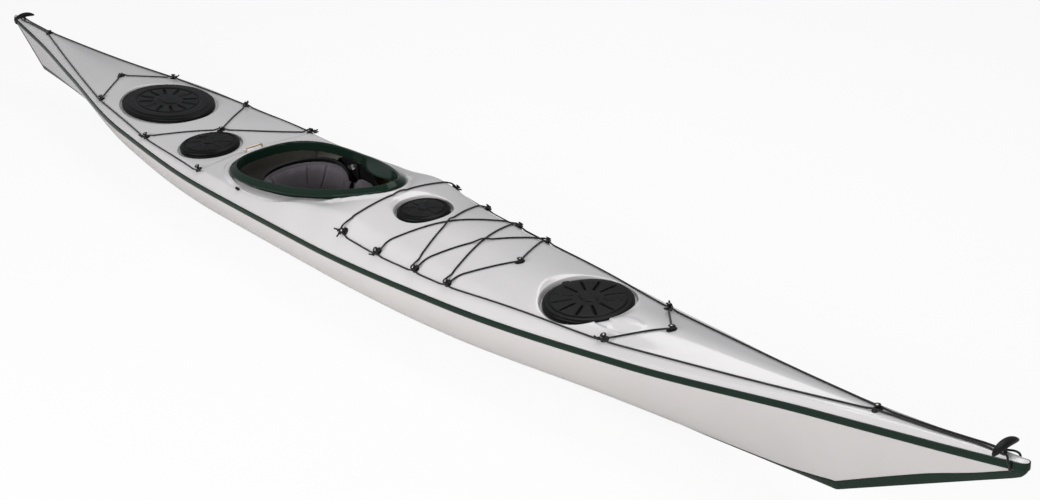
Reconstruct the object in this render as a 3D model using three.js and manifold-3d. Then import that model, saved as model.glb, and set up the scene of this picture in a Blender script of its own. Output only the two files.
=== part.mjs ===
// Sea kayak: a composite hull and deck, a keyhole cockpit with seat and backrest, footbraces,
// three bulkheads, four hatches, a retractable skeg, deck lines, elastics and two end toggles.
// Millimetres. +X points to the bow, +Y to port and +Z up. The keel strip's flat stands on z = 0.
import * as THREE from 'three';
import { mergeVertices } from 'three/addons/utils/BufferGeometryUtils.js';
import Module from 'manifold-3d';

const wasm = await Module();
wasm.setup();

// Driving dimensions of the hull and deck
const hullLength = 5470;
const beam = 545;
const bowSeamHeight = 394;
const forefootHeight = 80;
const wall = 4;
const fitGap = 0.3;
const overrun = 12;
const trimThickness = 1.5;
const bandHeight = 20;
const keelStripHalfGirth = 26;
const sternTipBluntness = 22;
const bowTipBluntness = 26;

const halfLength = hullLength / 2;
const halfBeam = beam / 2;
const hullFloor = trimThickness + fitGap;

// Smooth curve through a table of points that never overshoots them
function slopesThrough(xs, ys) {
  const last = xs.length - 1;
  const steps = xs.slice(1).map((x, i) => (ys[i + 1] - ys[i]) / (x - xs[i]));
  return xs.map((_, i) => {
    if (i === 0) return steps[0];
    if (i === last) return steps[last - 1];
    const before = steps[i - 1];
    const after = steps[i];
    return before * after <= 0 ? 0 : (2 * before * after) / (before + after);
  });
}

function hermite(x, x0, x1, y0, y1, m0, m1) {
  const span = x1 - x0;
  const t = (x - x0) / span;
  const rise = t * t * (3 - 2 * t);
  return y0 + (y1 - y0) * rise + span * t * (1 - t) * ((1 - t) * m0 - t * m1);
}

function smoothTable(xs, ys) {
  const slopes = slopesThrough(xs, ys);
  return (x) => {
    const at = Math.min(Math.max(x, xs[0]), xs[xs.length - 1]);
    let i = 0;
    while (i < xs.length - 2 && at > xs[i + 1]) i += 1;
    return hermite(at, xs[i], xs[i + 1], ys[i], ys[i + 1], slopes[i], slopes[i + 1]);
  };
}

// Tables along the boat: the first value of each pair is a share of half the length,
// the second a share of the size that the table is scaled by
function alongBoat(pairShares, size) {
  return smoothTable(
    pairShares.map(([at]) => at * halfLength),
    pairShares.map(([, share]) => share * size),
  );
}

const halfBreadthShares = [
  [-1, 0.040], [-0.878, 0.158], [-0.695, 0.455], [-0.439, 0.879], [-0.183, 1], [0.073, 0.994],
  [0.329, 0.869], [0.585, 0.555], [0.804, 0.184], [0.914, 0.088], [1, 0.048],
];
const seamHeightShares = [
  [-1, 0.763], [-0.878, 0.680], [-0.695, 0.604], [-0.439, 0.525], [-0.183, 0.464],
  [0.073, 0.477], [0.329, 0.528], [0.585, 0.635], [0.804, 0.787], [0.914, 0.893], [1, 1],
];
const heelPlaceShare = -0.916;
const forefootPlaceShare = 0.8095;
const keelHeightShares = [
  [heelPlaceShare, 1.275], [-0.695, 0.69], [-0.439, 0.33], [-0.2, 0], [0.21, 0],
  [0.402, 0.22], [0.622, 0.46], [forefootPlaceShare, 1],
];
const sectionFullnessShares = [
  [-1, 1.08], [heelPlaceShare, 1.14], [-0.622, 1.5], [-0.293, 2.33], [0.293, 2.33],
  [0.549, 1.67], [forefootPlaceShare, 1.12], [1, 1.08],
];
const ridgeHeightShares = [
  [-1, 0.800], [-0.859, 0.774], [-0.607, 0.665], [-0.3, 0.605], [-0.183, 0.571], [-0.073, 0.614],
  [0.055, 0.740], [0.132, 0.852], [0.227, 0.805], [0.362, 0.744], [0.475, 0.752],
  [0.598, 0.787], [0.852, 0.916], [1, 1.034],
];
const knucklePlaceShares = [
  [-1, 0.5], [-0.607, 0.6], [-0.369, 0.85], [-0.183, 0.87], [-0.073, 0.855], [0, 0.8],
  [0.055, 0.72], [0.121, 0.69], [0.219, 0.64], [0.311, 0.62], [0.45, 0.72], [0.57, 0.74],
  [0.73, 0.55], [1, 0.5],
];
const knuckleRiseShares = [
  [-1, 0.7], [-0.607, 0.65], [-0.369, 0.5], [-0.183, 1], [-0.073, 0.98], [0, 0.97],
  [0.055, 0.95], [0.121, 0.85], [0.219, 0.73], [0.311, 0.77], [0.45, 0.6], [0.57, 0.35],
  [0.73, 0.6], [1, 0.6],
];
const gunwaleHeight = 30;
const gunwaleHeightShares = [
  [-1, 0.5], [-0.695, 0.5], [-0.366, 0.46], [0, 0.35], [0.33, 0.34], [0.549, 0.5],
  [0.66, 0.74], [0.845, 1], [0.95, 0.8], [1, 0.3],
];
const gunwaleLeanShare = 0.28;

const halfBreadth = alongBoat(halfBreadthShares, halfBeam);
const seamHeight = alongBoat(seamHeightShares, bowSeamHeight);
const keelBetweenEnds = alongBoat(keelHeightShares, forefootHeight);
const sectionFullness = alongBoat(sectionFullnessShares, 1);
const ridgeHeight = alongBoat(ridgeHeightShares, bowSeamHeight);
const knucklePlace = alongBoat(knucklePlaceShares, 1);
const knuckleRise = alongBoat(knuckleRiseShares, 1);
const gunwaleRise = alongBoat(gunwaleHeightShares, gunwaleHeight);

// Below the ends the stem runs straight from the keel's corner to the blunt tip
const forefootX = forefootPlaceShare * halfLength;
const heelX = heelPlaceShare * halfLength;
function keelHeight(x) {
  const tipX = Math.sign(x) * halfLength;
  const tipZ = seamHeight(tipX) - (x > 0 ? bowTipBluntness : sternTipBluntness);
  if (x > forefootX || x < heelX) {
    const cornerX = x > 0 ? forefootX : heelX;
    const cornerZ = hullFloor + keelBetweenEnds(cornerX);
    return cornerZ + ((tipZ - cornerZ) * (x - cornerX)) / (tipX - cornerX);
  }
  return hullFloor + keelBetweenEnds(x);
}

// A point of the hull's section, where turn runs from 0 at the keel's flat to a right angle at the seam
const keelFlatShare = 0.05;
const floorThickening = 1.6;
function hullPoint(x, turn, inset) {
  const fullness = 2 / sectionFullness(x);
  const breadth = Math.max(halfBreadth(x) - inset, inset / 4);
  const floor = keelHeight(x) + inset * (inset > 0 ? floorThickening : 1);
  const top = seamHeight(x);
  const flat = breadth * keelFlatShare;
  const y = flat + (breadth - flat) * Math.sin(turn) ** fullness;
  return [y, top - (top - floor) * Math.cos(turn) ** fullness];
}

function gunwaleInset(x) {
  return Math.min(gunwaleRise(x) * gunwaleLeanShare, halfBreadth(x) / 3);
}

// Height of the deck's outer surface
const edgeBulge = 1.15;
function deckHeight(x, y) {
  const breadth = halfBreadth(x) - gunwaleInset(x);
  const edge = seamHeight(x) + gunwaleRise(x);
  const ridge = Math.max(ridgeHeight(x), edge);
  const knuckleAt = knucklePlace(x);
  const knuckleZ = edge + (ridge - edge) * knuckleRise(x);
  const v = Math.abs(y) / breadth;
  if (v >= 1) {
    const out = Math.min((Math.abs(y) - breadth) / gunwaleInset(x), 1);
    return edge - out * gunwaleRise(x);
  }
  const inner = (knuckleZ - ridge) / knuckleAt;
  const outer = (edge - knuckleZ) / (1 - knuckleAt);
  const middle = inner * outer <= 0 ? 0 : (2 * inner * outer) / (inner + outer);
  return v < knuckleAt
    ? hermite(v, 0, knuckleAt, ridge, knuckleZ, 0, middle)
    : hermite(v, knuckleAt, 1, knuckleZ, edge, middle, outer * edgeBulge);
}

// Closed solids from rings of points, capped at both ends or joined into a loop
function capTriangles(ring) {
  const normal = new THREE.Vector3();
  ring.forEach((p, i) => normal.add(p.clone().cross(ring[(i + 1) % ring.length])));
  normal.normalize();
  const across = ring.reduce((best, p) => {
    const side = p.clone().sub(ring[0]);
    return side.lengthSq() > best.lengthSq() ? side : best;
  }, new THREE.Vector3()).normalize();
  const up = normal.clone().cross(across);
  return THREE.ShapeUtils.triangulateShape(ring.map((p) => new THREE.Vector2(p.dot(across), p.dot(up))), []);
}

function signedVolume(points, index) {
  let volume = 0;
  for (let i = 0; i < index.length; i += 3) {
    const [a, b, c] = [points[index[i]], points[index[i + 1]], points[index[i + 2]]];
    volume += a.dot(b.clone().cross(c)) / 6;
  }
  return volume;
}

function loft(rings, looped = false) {
  const count = rings[0].length;
  const points = rings.flat();
  const index = [];
  for (let r = 0; r < rings.length - (looped ? 0 : 1); r += 1) {
    const here = r * count;
    const next = ((r + 1) % rings.length) * count;
    for (let i = 0; i < count; i += 1) {
      const j = (i + 1) % count;
      index.push(here + i, here + j, next + j, here + i, next + j, next + i);
    }
  }
  if (!looped) {
    const end = points.length - count;
    for (const [a, b, c] of capTriangles(rings[0])) index.push(a, c, b);
    for (const [a, b, c] of capTriangles(rings.at(-1))) index.push(end + a, end + b, end + c);
  }
  if (signedVolume(points, index) < 0) index.reverse();
  const geometry = new THREE.BufferGeometry();
  const places = points.flatMap((p) => [p.x, p.y, p.z]);
  geometry.setAttribute('position', new THREE.Float32BufferAttribute(places, 3));
  geometry.setIndex(index);
  return geometry;
}

// A loop of rings joined end to end
function closedLoft(rings) {
  return loft(rings, true);
}

function toSolid(source) {
  const geometry = source.clone();
  geometry.deleteAttribute('normal');
  geometry.deleteAttribute('uv');
  const merged = mergeVertices(geometry, 1e-4);
  const mesh = new wasm.Mesh({
    numProp: 3,
    vertProperties: new Float32Array(merged.attributes.position.array),
    triVerts: new Uint32Array(merged.index.array),
  });
  return new wasm.Manifold(mesh);
}

function toGeometry(solid) {
  const mesh = solid.getMesh();
  const geometry = new THREE.BufferGeometry();
  const positions = new Float32Array((mesh.vertProperties.length / mesh.numProp) * 3);
  for (let i = 0; i < positions.length; i += 1) {
    positions[i] = mesh.vertProperties[Math.floor(i / 3) * mesh.numProp + (i % 3)];
  }
  geometry.setAttribute('position', new THREE.BufferAttribute(positions, 3));
  geometry.setIndex(new THREE.BufferAttribute(new Uint32Array(mesh.triVerts), 1));
  return geometry;
}

const kayak = new THREE.Group();
kayak.name = 'sea_kayak';

const finishes = {
  gelcoatDeck: { color: 0xd4d2d8, roughness: 0.22, metalness: 0 },
  gelcoatHull: { color: 0xcbc5c0, roughness: 0.24, metalness: 0 },
  greenGelcoat: { color: 0x1d3329, roughness: 0.2, metalness: 0 },
  laminate: { color: 0xb89a63, roughness: 0.6, metalness: 0 },
  blackPlastic: { color: 0x16171a, roughness: 0.45, metalness: 0 },
  blackRubber: { color: 0x1c1c20, roughness: 0.6, metalness: 0 },
  blackCord: { color: 0x0d0d0f, roughness: 0.8, metalness: 0 },
  greyFoam: { color: 0x4a454e, roughness: 0.9, metalness: 0 },
  aluminium: { color: 0xa9acb0, roughness: 0.35, metalness: 1 },
  steel: { color: 0xb5a58a, roughness: 0.3, metalness: 1 },
};

function addPiece(name, shape, finish) {
  const geometry = (shape.isBufferGeometry ? shape : toGeometry(shape)).toNonIndexed();
  geometry.computeVertexNormals();
  const piece = new THREE.Mesh(geometry, new THREE.MeshStandardMaterial(finishes[finish]));
  piece.name = name;
  kayak.add(piece);
  return piece;
}

// Stations along the boat, closer where the deck humps up and where the ends round off
const stationPitch = 175;
const humpPitch = 85;
const humpFrom = -0.2267 * halfLength;
const humpTo = 0.2706 * halfLength;
const tipRadius = 18;
const tipTurnShares = [0, 0.42, 0.8];
const stemSteps = 4;

function evenSteps(from, to, pitch) {
  const count = Math.max(1, Math.round((to - from) / pitch));
  return Array.from({ length: count }, (_, i) => from + ((to - from) * i) / count);
}

function boatStations(pitch, humped) {
  const roundStart = halfLength - tipRadius;
  const tip = tipTurnShares.map((share) => roundStart + tipRadius * Math.sin((share * Math.PI) / 2));
  return [
    ...tip.map((x) => -x).reverse(),
    ...evenSteps(-roundStart, heelX, (heelX + roundStart) / stemSteps).slice(1),
    ...evenSteps(heelX, humpFrom, pitch),
    ...evenSteps(humpFrom, humpTo, humped),
    ...evenSteps(humpTo, forefootX, pitch),
    ...evenSteps(forefootX, roundStart, (roundStart - forefootX) / stemSteps),
    ...tip,
  ];
}

// The ends are round in plan
function planBreadth(x) {
  const past = Math.max(Math.abs(x) - (halfLength - tipRadius), 0) / tipRadius;
  return halfBreadth(x) * Math.sqrt(Math.max(1 - past * past, 0));
}

function tipScale(x) {
  return planBreadth(x) / halfBreadth(x);
}

const seamGap = 1;
const hullTurns = 6;
const innerTurns = 4;
const deckShares = [1, 0.88, 0.7, 0.4, 0];
const innerShares = [1, 0.72, 0.38, 0];

function hullRing(x, inset, lift, turns = hullTurns) {
  const half = [];
  for (let i = 0; i <= turns; i += 1) half.push(hullPoint(x, ((i / turns) * Math.PI) / 2, inset));
  const place = grownPlace(x, inset);
  const scale = tipScale(x);
  const ring = [
    ...half.map(([y, z]) => new THREE.Vector3(place, -y * scale, z)).reverse(),
    ...half.map(([y, z]) => new THREE.Vector3(place, y * scale, z)),
  ];
  if (lift > 0) {
    const rise = new THREE.Vector3(0, 0, lift);
    ring.push(ring.at(-1).clone().add(rise), ring[0].clone().add(rise));
  }
  return ring;
}

// A grown body, with a negative inset, is longer too
function grownPlace(x, inset) {
  return x * (1 + Math.max(-inset, 0) / halfLength);
}

function deckRing(x, inset, drop, shares = deckShares) {
  const place = grownPlace(x, inset);
  const scale = tipScale(x);
  const bottom = seamHeight(x) + seamGap - drop;
  const edge = halfBreadth(x) - gunwaleInset(x);
  const narrow = Math.max(edge - inset, inset / 3);
  const foot = Math.max(halfBreadth(x) - inset, inset / 2) * scale;
  const ring = [new THREE.Vector3(place, -foot, bottom), new THREE.Vector3(place, foot, bottom)];
  for (const share of [...shares, ...shares.slice(0, -1).reverse().map((v) => -v)]) {
    const z = Math.max(deckHeight(x, share * edge) - inset, bottom + fitGap);
    ring.push(new THREE.Vector3(place, share * narrow * scale, z));
  }
  return ring;
}

const deckStations = boatStations(stationPitch, humpPitch);
const hullStations = boatStations(stationPitch, humpPitch * 2);
const innerPitchShare = 1.4;
const innerStations = boatStations(stationPitch * innerPitchShare, humpPitch * innerPitchShare);
const solidEnd = 150;
const hollow = (x) => Math.abs(x) < halfLength - solidEnd;

const hullBody = (grown, lift) => toSolid(loft(hullStations.map((x) => hullRing(x, -grown, lift))));
const deckBody = (grown, drop) => toSolid(loft(deckStations.map((x) => deckRing(x, -grown, drop))));
const hullOuter = hullBody(0, 0);
const innerHull = (inset) => innerStations.filter(hollow).map((x) => hullRing(x, inset, overrun, innerTurns));
const hullInner = toSolid(loft(innerHull(wall)));
const deckOuter = deckBody(0, 0);
const innerDeck = innerStations.filter(hollow).map((x) => deckRing(x, wall, overrun, innerShares));
const deckInner = toSolid(loft(innerDeck));

// Point at a height above the deck's outer surface, measured square to it
const slopeProbe = 4;
function deckNormal(x, y) {
  const alongX = deckHeight(x + slopeProbe, y) - deckHeight(x - slopeProbe, y);
  const alongY = deckHeight(x, y + slopeProbe) - deckHeight(x, y - slopeProbe);
  return new THREE.Vector3(-alongX, -alongY, 2 * slopeProbe).normalize();
}

function aboveDeck(x, y, height) {
  return new THREE.Vector3(x, y, deckHeight(x, y)).addScaledVector(deckNormal(x, y), height);
}

// Upright prism over a plan outline
function prism(outline, bottom, top) {
  const shape = new THREE.Shape(outline.map(([x, y]) => new THREE.Vector2(x, y)));
  const geometry = new THREE.ExtrudeGeometry(shape, { depth: top - bottom, bevelEnabled: false });
  return geometry.translate(0, 0, bottom);
}

function ovalOutline(centre, halfLong, halfWide, count) {
  return Array.from({ length: count }, (_, i) => {
    const turn = (i / count) * 2 * Math.PI;
    return [centre[0] + halfLong * Math.cos(turn), centre[1] + halfWide * Math.sin(turn)];
  });
}

// Cockpit coaming: a keyhole outline, widest behind the middle, rising to the bow, its flange leaning outwards
const coamingRearShare = -0.19689;
const coamingFrontShare = 0.1298;
const coamingWidthShare = 0.7339;
const coamingRear = coamingRearShare * halfLength;
const coamingFront = coamingFrontShare * halfLength;
const coamingHalfWidth = coamingWidthShare * halfBeam;
const coamingSkewShare = 0.345;
const coamingSquareness = 2.4;
const coamingHeightShares = [0.7221, 1.0135, 2.0504];
const flangeWidth = 24;
const flangeThickness = 6;
const flangeLean = 11;
const riserWall = 4;
const riserDepth = 24;
const braceWidth = 34;
const braceDrop = 3;
const braceFromShare = -0.0439;
const braceToShare = 0.0914;
const braceFrom = braceFromShare * halfLength;
const braceTo = braceToShare * halfLength;
const coamingPoints = 40;

function coamingOutline(inset) {
  const middle = (coamingRear + coamingFront) / 2;
  const half = (coamingFront - coamingRear) / 2;
  const power = 2 / coamingSquareness;
  const points = Array.from({ length: coamingPoints }, (_, i) => {
    const turn = (i / coamingPoints) * 2 * Math.PI;
    const [c, s] = [Math.cos(turn), Math.sin(turn)];
    const x = middle + half * Math.sign(c) * Math.abs(c) ** power;
    const y = coamingHalfWidth * Math.sign(s) * Math.abs(s) ** power * (1 - coamingSkewShare * c);
    return new THREE.Vector2(x, y);
  });
  return points.map((p, i) => {
    const ahead = points[(i + 1) % coamingPoints];
    const behind = points[(i + coamingPoints - 1) % coamingPoints];
    const inward = new THREE.Vector2(behind.y - ahead.y, ahead.x - behind.x).normalize();
    const depth = typeof inset === 'function' ? inset(p) : inset;
    return p.clone().addScaledVector(inward, depth);
  });
}

function coamingTop(x) {
  const [middle, rise, sweep] = coamingHeightShares;
  const at = x / halfLength;
  return bowSeamHeight * (middle + rise * at + sweep * at * at);
}

function braceShare(p) {
  const t = (p.x - braceFrom) / (braceTo - braceFrom);
  return t <= 0 || t >= 1 ? 0 : Math.sin(Math.PI * t);
}

function coamingGeometry() {
  const lip = flangeThickness / 3;
  const place = (inset, height, drop = 0) => ({ inset, height, drop });
  const section = [
    place(() => 0, -flangeThickness - lip), place(() => lip, 0), place(() => flangeWidth, flangeLean),
    place(() => flangeWidth + riserWall, flangeLean - lip),
    place((p) => flangeWidth + riserWall + braceWidth * braceShare(p), -riserDepth, braceDrop),
    place((p) => flangeWidth + braceWidth * braceShare(p), -riserDepth - lip, braceDrop),
    place(() => flangeWidth, flangeLean - flangeThickness - lip * 2),
    place(() => lip, -flangeThickness - lip * 2),
  ];
  const base = coamingOutline(0);
  const loops = section.map(({ inset, height, drop }) => coamingOutline(inset).map((p, i) => {
    const z = coamingTop(base[i].x) + height - drop * braceShare(base[i]);
    return new THREE.Vector3(p.x, p.y, z);
  }));
  return closedLoft(base.map((_, i) => loops.map((loop) => loop[i])));
}

// Hatches: each lid caps a neck that stands in a level well moulded into the deck
const hatches = {
  fore: hatchAt(
    { placeShares: [0.47386, 0], widthShare: 0.4881, topShare: 0.7183 },
    { height: 23, points: 20 },
  ),
  aft: hatchAt(
    { placeShares: [-0.45521, 0], widthShare: 0.6055, lengthShare: 0.08958, topShare: 0.6523 },
    { height: 22, points: 20 },
  ),
  day: hatchAt(
    { placeShares: [-0.26764, -0.3596], widthShare: 0.4092, topShare: 0.6218 },
    { height: 24, points: 16 },
  ),
  pod: hatchAt(
    { placeShares: [0.18464, 0], widthShare: 0.3193, topShare: 0.8147 },
    { height: 25, points: 16 },
  ),
};

// A hatch's place, breadth, length and top are shares of the boat's; a lid with no length of its own is round
function hatchAt({ placeShares, widthShare, lengthShare, topShare }, { height, points }) {
  const wide = widthShare * halfBeam;
  return {
    centre: [placeShares[0] * halfLength, placeShares[1] * halfBeam],
    long: lengthShare ? lengthShare * halfLength : wide,
    wide,
    top: topShare * bowSeamHeight,
    height,
    points,
  };
}
const wellMargin = 9;
const lidWall = 4;
const lidCrown = 3;
const neckClearance = 2;
const neckWall = 4;
const flangeRise = 3;
const neckDepth = 14;

function hatchFloor(hatch) {
  return hatch.top - hatch.height;
}

function hatchPrism(hatch, outset, bottom, top) {
  const { centre, long, wide, points } = hatch;
  return toSolid(prism(ovalOutline(centre, long + outset, wide + outset, points), bottom, top));
}

function neckOutset() {
  return -(lidWall + neckClearance);
}

// Deck shell with the cockpit hole and the four wells
let deckShell = deckOuter.subtract(deckInner);
for (const hatch of Object.values(hatches)) {
  const floor = hatchFloor(hatch);
  const above = hatch.top + overrun * 4;
  const block = hatchPrism(hatch, wellMargin + wall, floor - wall, above).intersect(deckOuter);
  const pocket = hatchPrism(hatch, wellMargin, floor, above);
  const hole = hatchPrism(hatch, neckOutset() - neckWall / 2 + fitGap, floor - wall - overrun, above);
  deckShell = deckShell.add(block).subtract(pocket).subtract(hole);
}
const cockpitHole = coamingOutline(flangeWidth - fitGap).map((p) => [p.x, p.y]);
deckShell = deckShell.subtract(toSolid(prism(cockpitHole, 0, coamingTop(coamingFront) + overrun)));

// A ring between two ovals, as a closed loft of its profile of [outset, height] pairs
function ovalRing(hatch, profile) {
  const { centre, long, wide, points } = hatch;
  const loops = profile.map(([outset, z]) => (
    ovalOutline(centre, long + outset, wide + outset, points).map(([x, y]) => new THREE.Vector3(x, y, z))
  ));
  return closedLoft(loops[0].map((_, i) => loops.map((loop) => loop[i])));
}

function hatchRim(hatch) {
  const floor = hatchFloor(hatch);
  const neck = neckOutset();
  const seat = floor + fitGap;
  const lipTop = hatch.top - lidWall - fitGap;
  return ovalRing(hatch, [
    [neck - neckWall, floor - wall - neckDepth], [neck - neckWall, lipTop],
    [neck, lipTop], [neck, seat + flangeRise], [neck, seat], [neck - neckWall / 2, seat],
    [neck - neckWall / 2, floor - wall - neckDepth],
  ].reverse());
}

// Lid: a crowned rim over a skirt, with a sunk panel and a raised boss in its middle
const lidShoulderShare = 0.94;
const panelShare = 0.68;
const bossShare = 0.26;
const panelStep = 1.5;
const lidRun = 1;
function hatchLid(hatch) {
  const { centre, long, wide, points, top } = hatch;
  const floor = hatchFloor(hatch) + lidRun;
  const ring = (share, z) => ovalOutline(centre, long - wide * (1 - share), wide * share, points)
    .map(([x, y]) => new THREE.Vector3(x, y, z));
  const body = toSolid(loft([
    ring(1, floor), ring(1, top - lidCrown), ring(lidShoulderShare, top), ring(panelShare, top),
    ring(panelShare - panelStep / wide, top - panelStep),
    ring(bossShare, top - panelStep), ring(bossShare, top),
  ]));
  return body.subtract(hatchPrism(hatch, -lidWall, floor - overrun, top - lidWall));
}

// Skeg: a fin in a narrow box that opens through the keel
const skegPivotShare = -0.61792;
const skegPivotX = skegPivotShare * halfLength;
const skegLength = 290;
const skegDepth = 92;
const skegThickness = 5;
const skegSlot = 8;
const skegBoxWall = 3;
const skegBoxFront = 22;
const skegBoxRear = 322;
const skegPivotRise = 24;
const skegTuck = 6;
const skegFloor = keelHeight(skegPivotX);
const skegPivotZ = skegFloor + skegPivotRise;

function plate(outline, thickness) {
  const shape = new THREE.Shape(outline.map(([x, z]) => new THREE.Vector2(x, z)));
  const geometry = new THREE.ExtrudeGeometry(shape, { depth: thickness, bevelEnabled: false });
  geometry.translate(0, 0, -thickness / 2);
  return geometry.rotateX(Math.PI / 2);
}

function boxBetween(low, high) {
  const size = high.map((value, i) => value - low[i]);
  const geometry = new THREE.BoxGeometry(...size);
  return geometry.translate(...high.map((value, i) => (value + low[i]) / 2));
}

const skegRearFloor = keelHeight(skegPivotX - skegBoxRear);
const skegBoxTop = skegPivotZ + skegDepth + skegBoxWall * 2;
const slotCut = (margin, bottom, top) => toSolid(boxBetween(
  [skegPivotX - skegBoxRear - margin, -skegSlot / 2 - margin, bottom],
  [skegPivotX + skegBoxFront + margin, skegSlot / 2 + margin, top],
));

const skegBox = (() => {
  const outer = toSolid(boxBetween(
    [skegPivotX - skegBoxRear - skegBoxWall, -skegSlot / 2 - skegBoxWall, 0],
    [skegPivotX + skegBoxFront + skegBoxWall, skegSlot / 2 + skegBoxWall, skegBoxTop],
  ));
  const inside = slotCut(0, -overrun, skegBoxTop - skegBoxWall);
  return outer.subtract(inside).intersect(hullOuter).add(skegPin(0));
})();

function skegPin(margin) {
  const pinRadius = 4;
  const pinSides = 12;
  const radius = pinRadius + margin;
  const pin = new THREE.CylinderGeometry(radius, radius, skegSlot + skegBoxWall, pinSides);
  return toSolid(pin.translate(skegPivotX, 0, skegPivotZ));
}

const skegBlade = (() => {
  const round = 16;
  const tailRound = 30;
  const skegBackShare = 0.3;
  const skegBackRise = 0.55;
  const rear = skegPivotX - skegLength;
  const rise = skegRearFloor - skegFloor + skegTuck;
  const outline = [
    [skegPivotX + round / Math.SQRT2, skegPivotZ - round / Math.SQRT2], [skegPivotX + round, skegPivotZ],
    [skegPivotX + round / Math.SQRT2, skegPivotZ + round / Math.SQRT2],
    [skegPivotX - skegLength * skegBackShare, skegPivotZ + skegDepth * skegBackRise],
    [rear + tailRound, skegFloor + rise + skegDepth - skegTuck],
    [rear, skegFloor + rise + skegDepth - skegTuck - tailRound],
    [rear, skegFloor + rise + tailRound], [rear + tailRound, skegFloor + rise],
  ];
  return toSolid(plate(outline, skegThickness)).subtract(skegPin(fitGap));
})();

// Hull shell with the slot for the skeg box, and a cross hole for the grab loop at each end
const loopHoleRadius = 4;
const loopHoleSet = 35;
const loopHoleDrop = 15.5;
const loopHoles = [
  { x: halfLength - loopHoleSet, rise: -loopHoleDrop },
  { x: loopHoleSet - halfLength, rise: -loopHoleDrop },
];
function loopHole({ x, rise }, radius) {
  const across = new THREE.CylinderGeometry(radius, radius, beam, 8);
  return toSolid(across.translate(x, 0, seamHeight(x) + rise));
}
const boxRoom = toSolid(boxBetween(
  [skegPivotX - skegBoxRear - skegBoxWall - fitGap, -skegSlot / 2 - skegBoxWall - fitGap, -overrun],
  [
    skegPivotX + skegBoxFront + skegBoxWall + fitGap,
    skegSlot / 2 + skegBoxWall + fitGap,
    skegBoxTop + overrun,
  ],
));
const hullShell = loopHoles.reduce(
  (shell, hole) => shell.subtract(loopHole(hole, loopHoleRadius)),
  hullOuter.subtract(hullInner).subtract(boxRoom),
);

// Green band round the seam
const bandGap = 0.8;
function seamBand() {
  const side = hullStations.map((x) => [x, planBreadth(x)]);
  const loop = [...side, ...side.map(([x, y]) => [x, -y]).reverse()];
  const half = bandHeight / 2;
  return toSolid(closedLoft(loop.map(([x, y], i) => {
    const ahead = loop[(i + 1) % loop.length];
    const behind = loop[(i + loop.length - 1) % loop.length];
    const out = new THREE.Vector2(behind[1] - ahead[1], ahead[0] - behind[0]).normalize();
    const lean = gunwaleInset(x) * Math.min(1, half / gunwaleRise(x)) * tipScale(x) * out.y * out.y;
    const at = (offset, rise) => new THREE.Vector3(
      x + out.x * offset, y + out.y * offset, seamHeight(x) + rise,
    );
    return [
      at(bandGap, -half), at(bandGap + trimThickness, -half),
      at(bandGap + trimThickness - lean / 2, half), at(bandGap - lean, half), at(bandGap, 0),
    ];
  })));
}

// Green strip under the keel and up both stems: a thin channel with a level sole
const stripRise = 24;
const stripRiseShares = [
  [-1, 0.6], [heelPlaceShare, 0.85], [-0.7, 0.5], [-0.4, 0.25], [0.4, 0.25], [0.66, 0.6],
  [forefootPlaceShare, 1.1], [0.9, 1.6], [0.96, 1.8], [1, 2.2],
];
const stripTop = alongBoat(stripRiseShares, stripRise);
function keelStrip() {
  const reach = halfLength - tipRadius;
  const rings = hullStations.filter((x) => Math.abs(x) <= reach).map((x) => {
    const top = Math.min(keelHeight(x) + stripTop(x), seamHeight(x) - bandHeight / 2 - fitGap * 2);
    const foot = new THREE.Vector2(...hullPoint(x, 0, 0));
    const knee = new THREE.Vector2(...hullPoint(x, Math.PI / 2 / hullTurns, 0));
    const byGirth = (keelStripHalfGirth - foot.x) / (knee.x - foot.x);
    const byHeight = (top - foot.y) / (knee.y - foot.y);
    const out = new THREE.Vector2(knee.y - foot.y, foot.x - knee.x).normalize();
    const edge = foot.clone().lerp(knee, Math.min(byGirth, byHeight, 1));
    const half = [
      foot.clone().addScaledVector(out, hullFloor).setY(foot.y - hullFloor),
      edge.clone().addScaledVector(out, hullFloor),
      edge.clone().addScaledVector(out, -trimThickness),
    ];
    return [
      ...half.map((v) => new THREE.Vector3(x, v.x, v.y)),
      ...half.map((v) => new THREE.Vector3(x, -v.x, v.y)).reverse(),
    ];
  });
  const slot = slotCut(fitGap * 2, -overrun, skegBoxTop);
  return toSolid(loft(rings)).subtract(hullBody(fitGap, 0)).subtract(slot);
}

// Bulkheads fill the section between hull and deck
const bulkheadThickness = 6;
const bulkheadMargin = 1;
const foreBulkheadShare = 0.36015;
const dayBulkheadShare = -0.34552;
const dayWellFront = hatches.day.centre[0] + hatches.day.long + wellMargin + wall;
const bulkheadPlaces = {
  fore: foreBulkheadShare * halfLength,
  cockpit: (coamingRear + dayWellFront) / 2,
  day: dayBulkheadShare * halfLength,
};
const bulkheadDeckShares = [0.94, 0.75, 0.5, 0.25, 0];
function cavityRing(x, margin) {
  const edge = halfBreadth(x) - gunwaleInset(x) - wall - margin;
  const deckSide = [...bulkheadDeckShares, ...bulkheadDeckShares.slice(0, -1).reverse().map((v) => -v)];
  return [
    ...hullRing(x, wall + margin, 0),
    ...deckSide.map((share) => {
      const z = deckHeight(x, share * (halfBreadth(x) - gunwaleInset(x))) - wall - margin;
      return new THREE.Vector3(x, share * edge, z);
    }),
  ];
}

function bulkhead(x) {
  const half = bulkheadThickness / 2;
  return toSolid(loft([cavityRing(x - half, bulkheadMargin), cavityRing(x + half, bulkheadMargin)]))
    .subtract(deckShell.translate(0, 0, -fitGap)).subtract(hullShell.translate(0, 0, fitGap));
}

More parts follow.
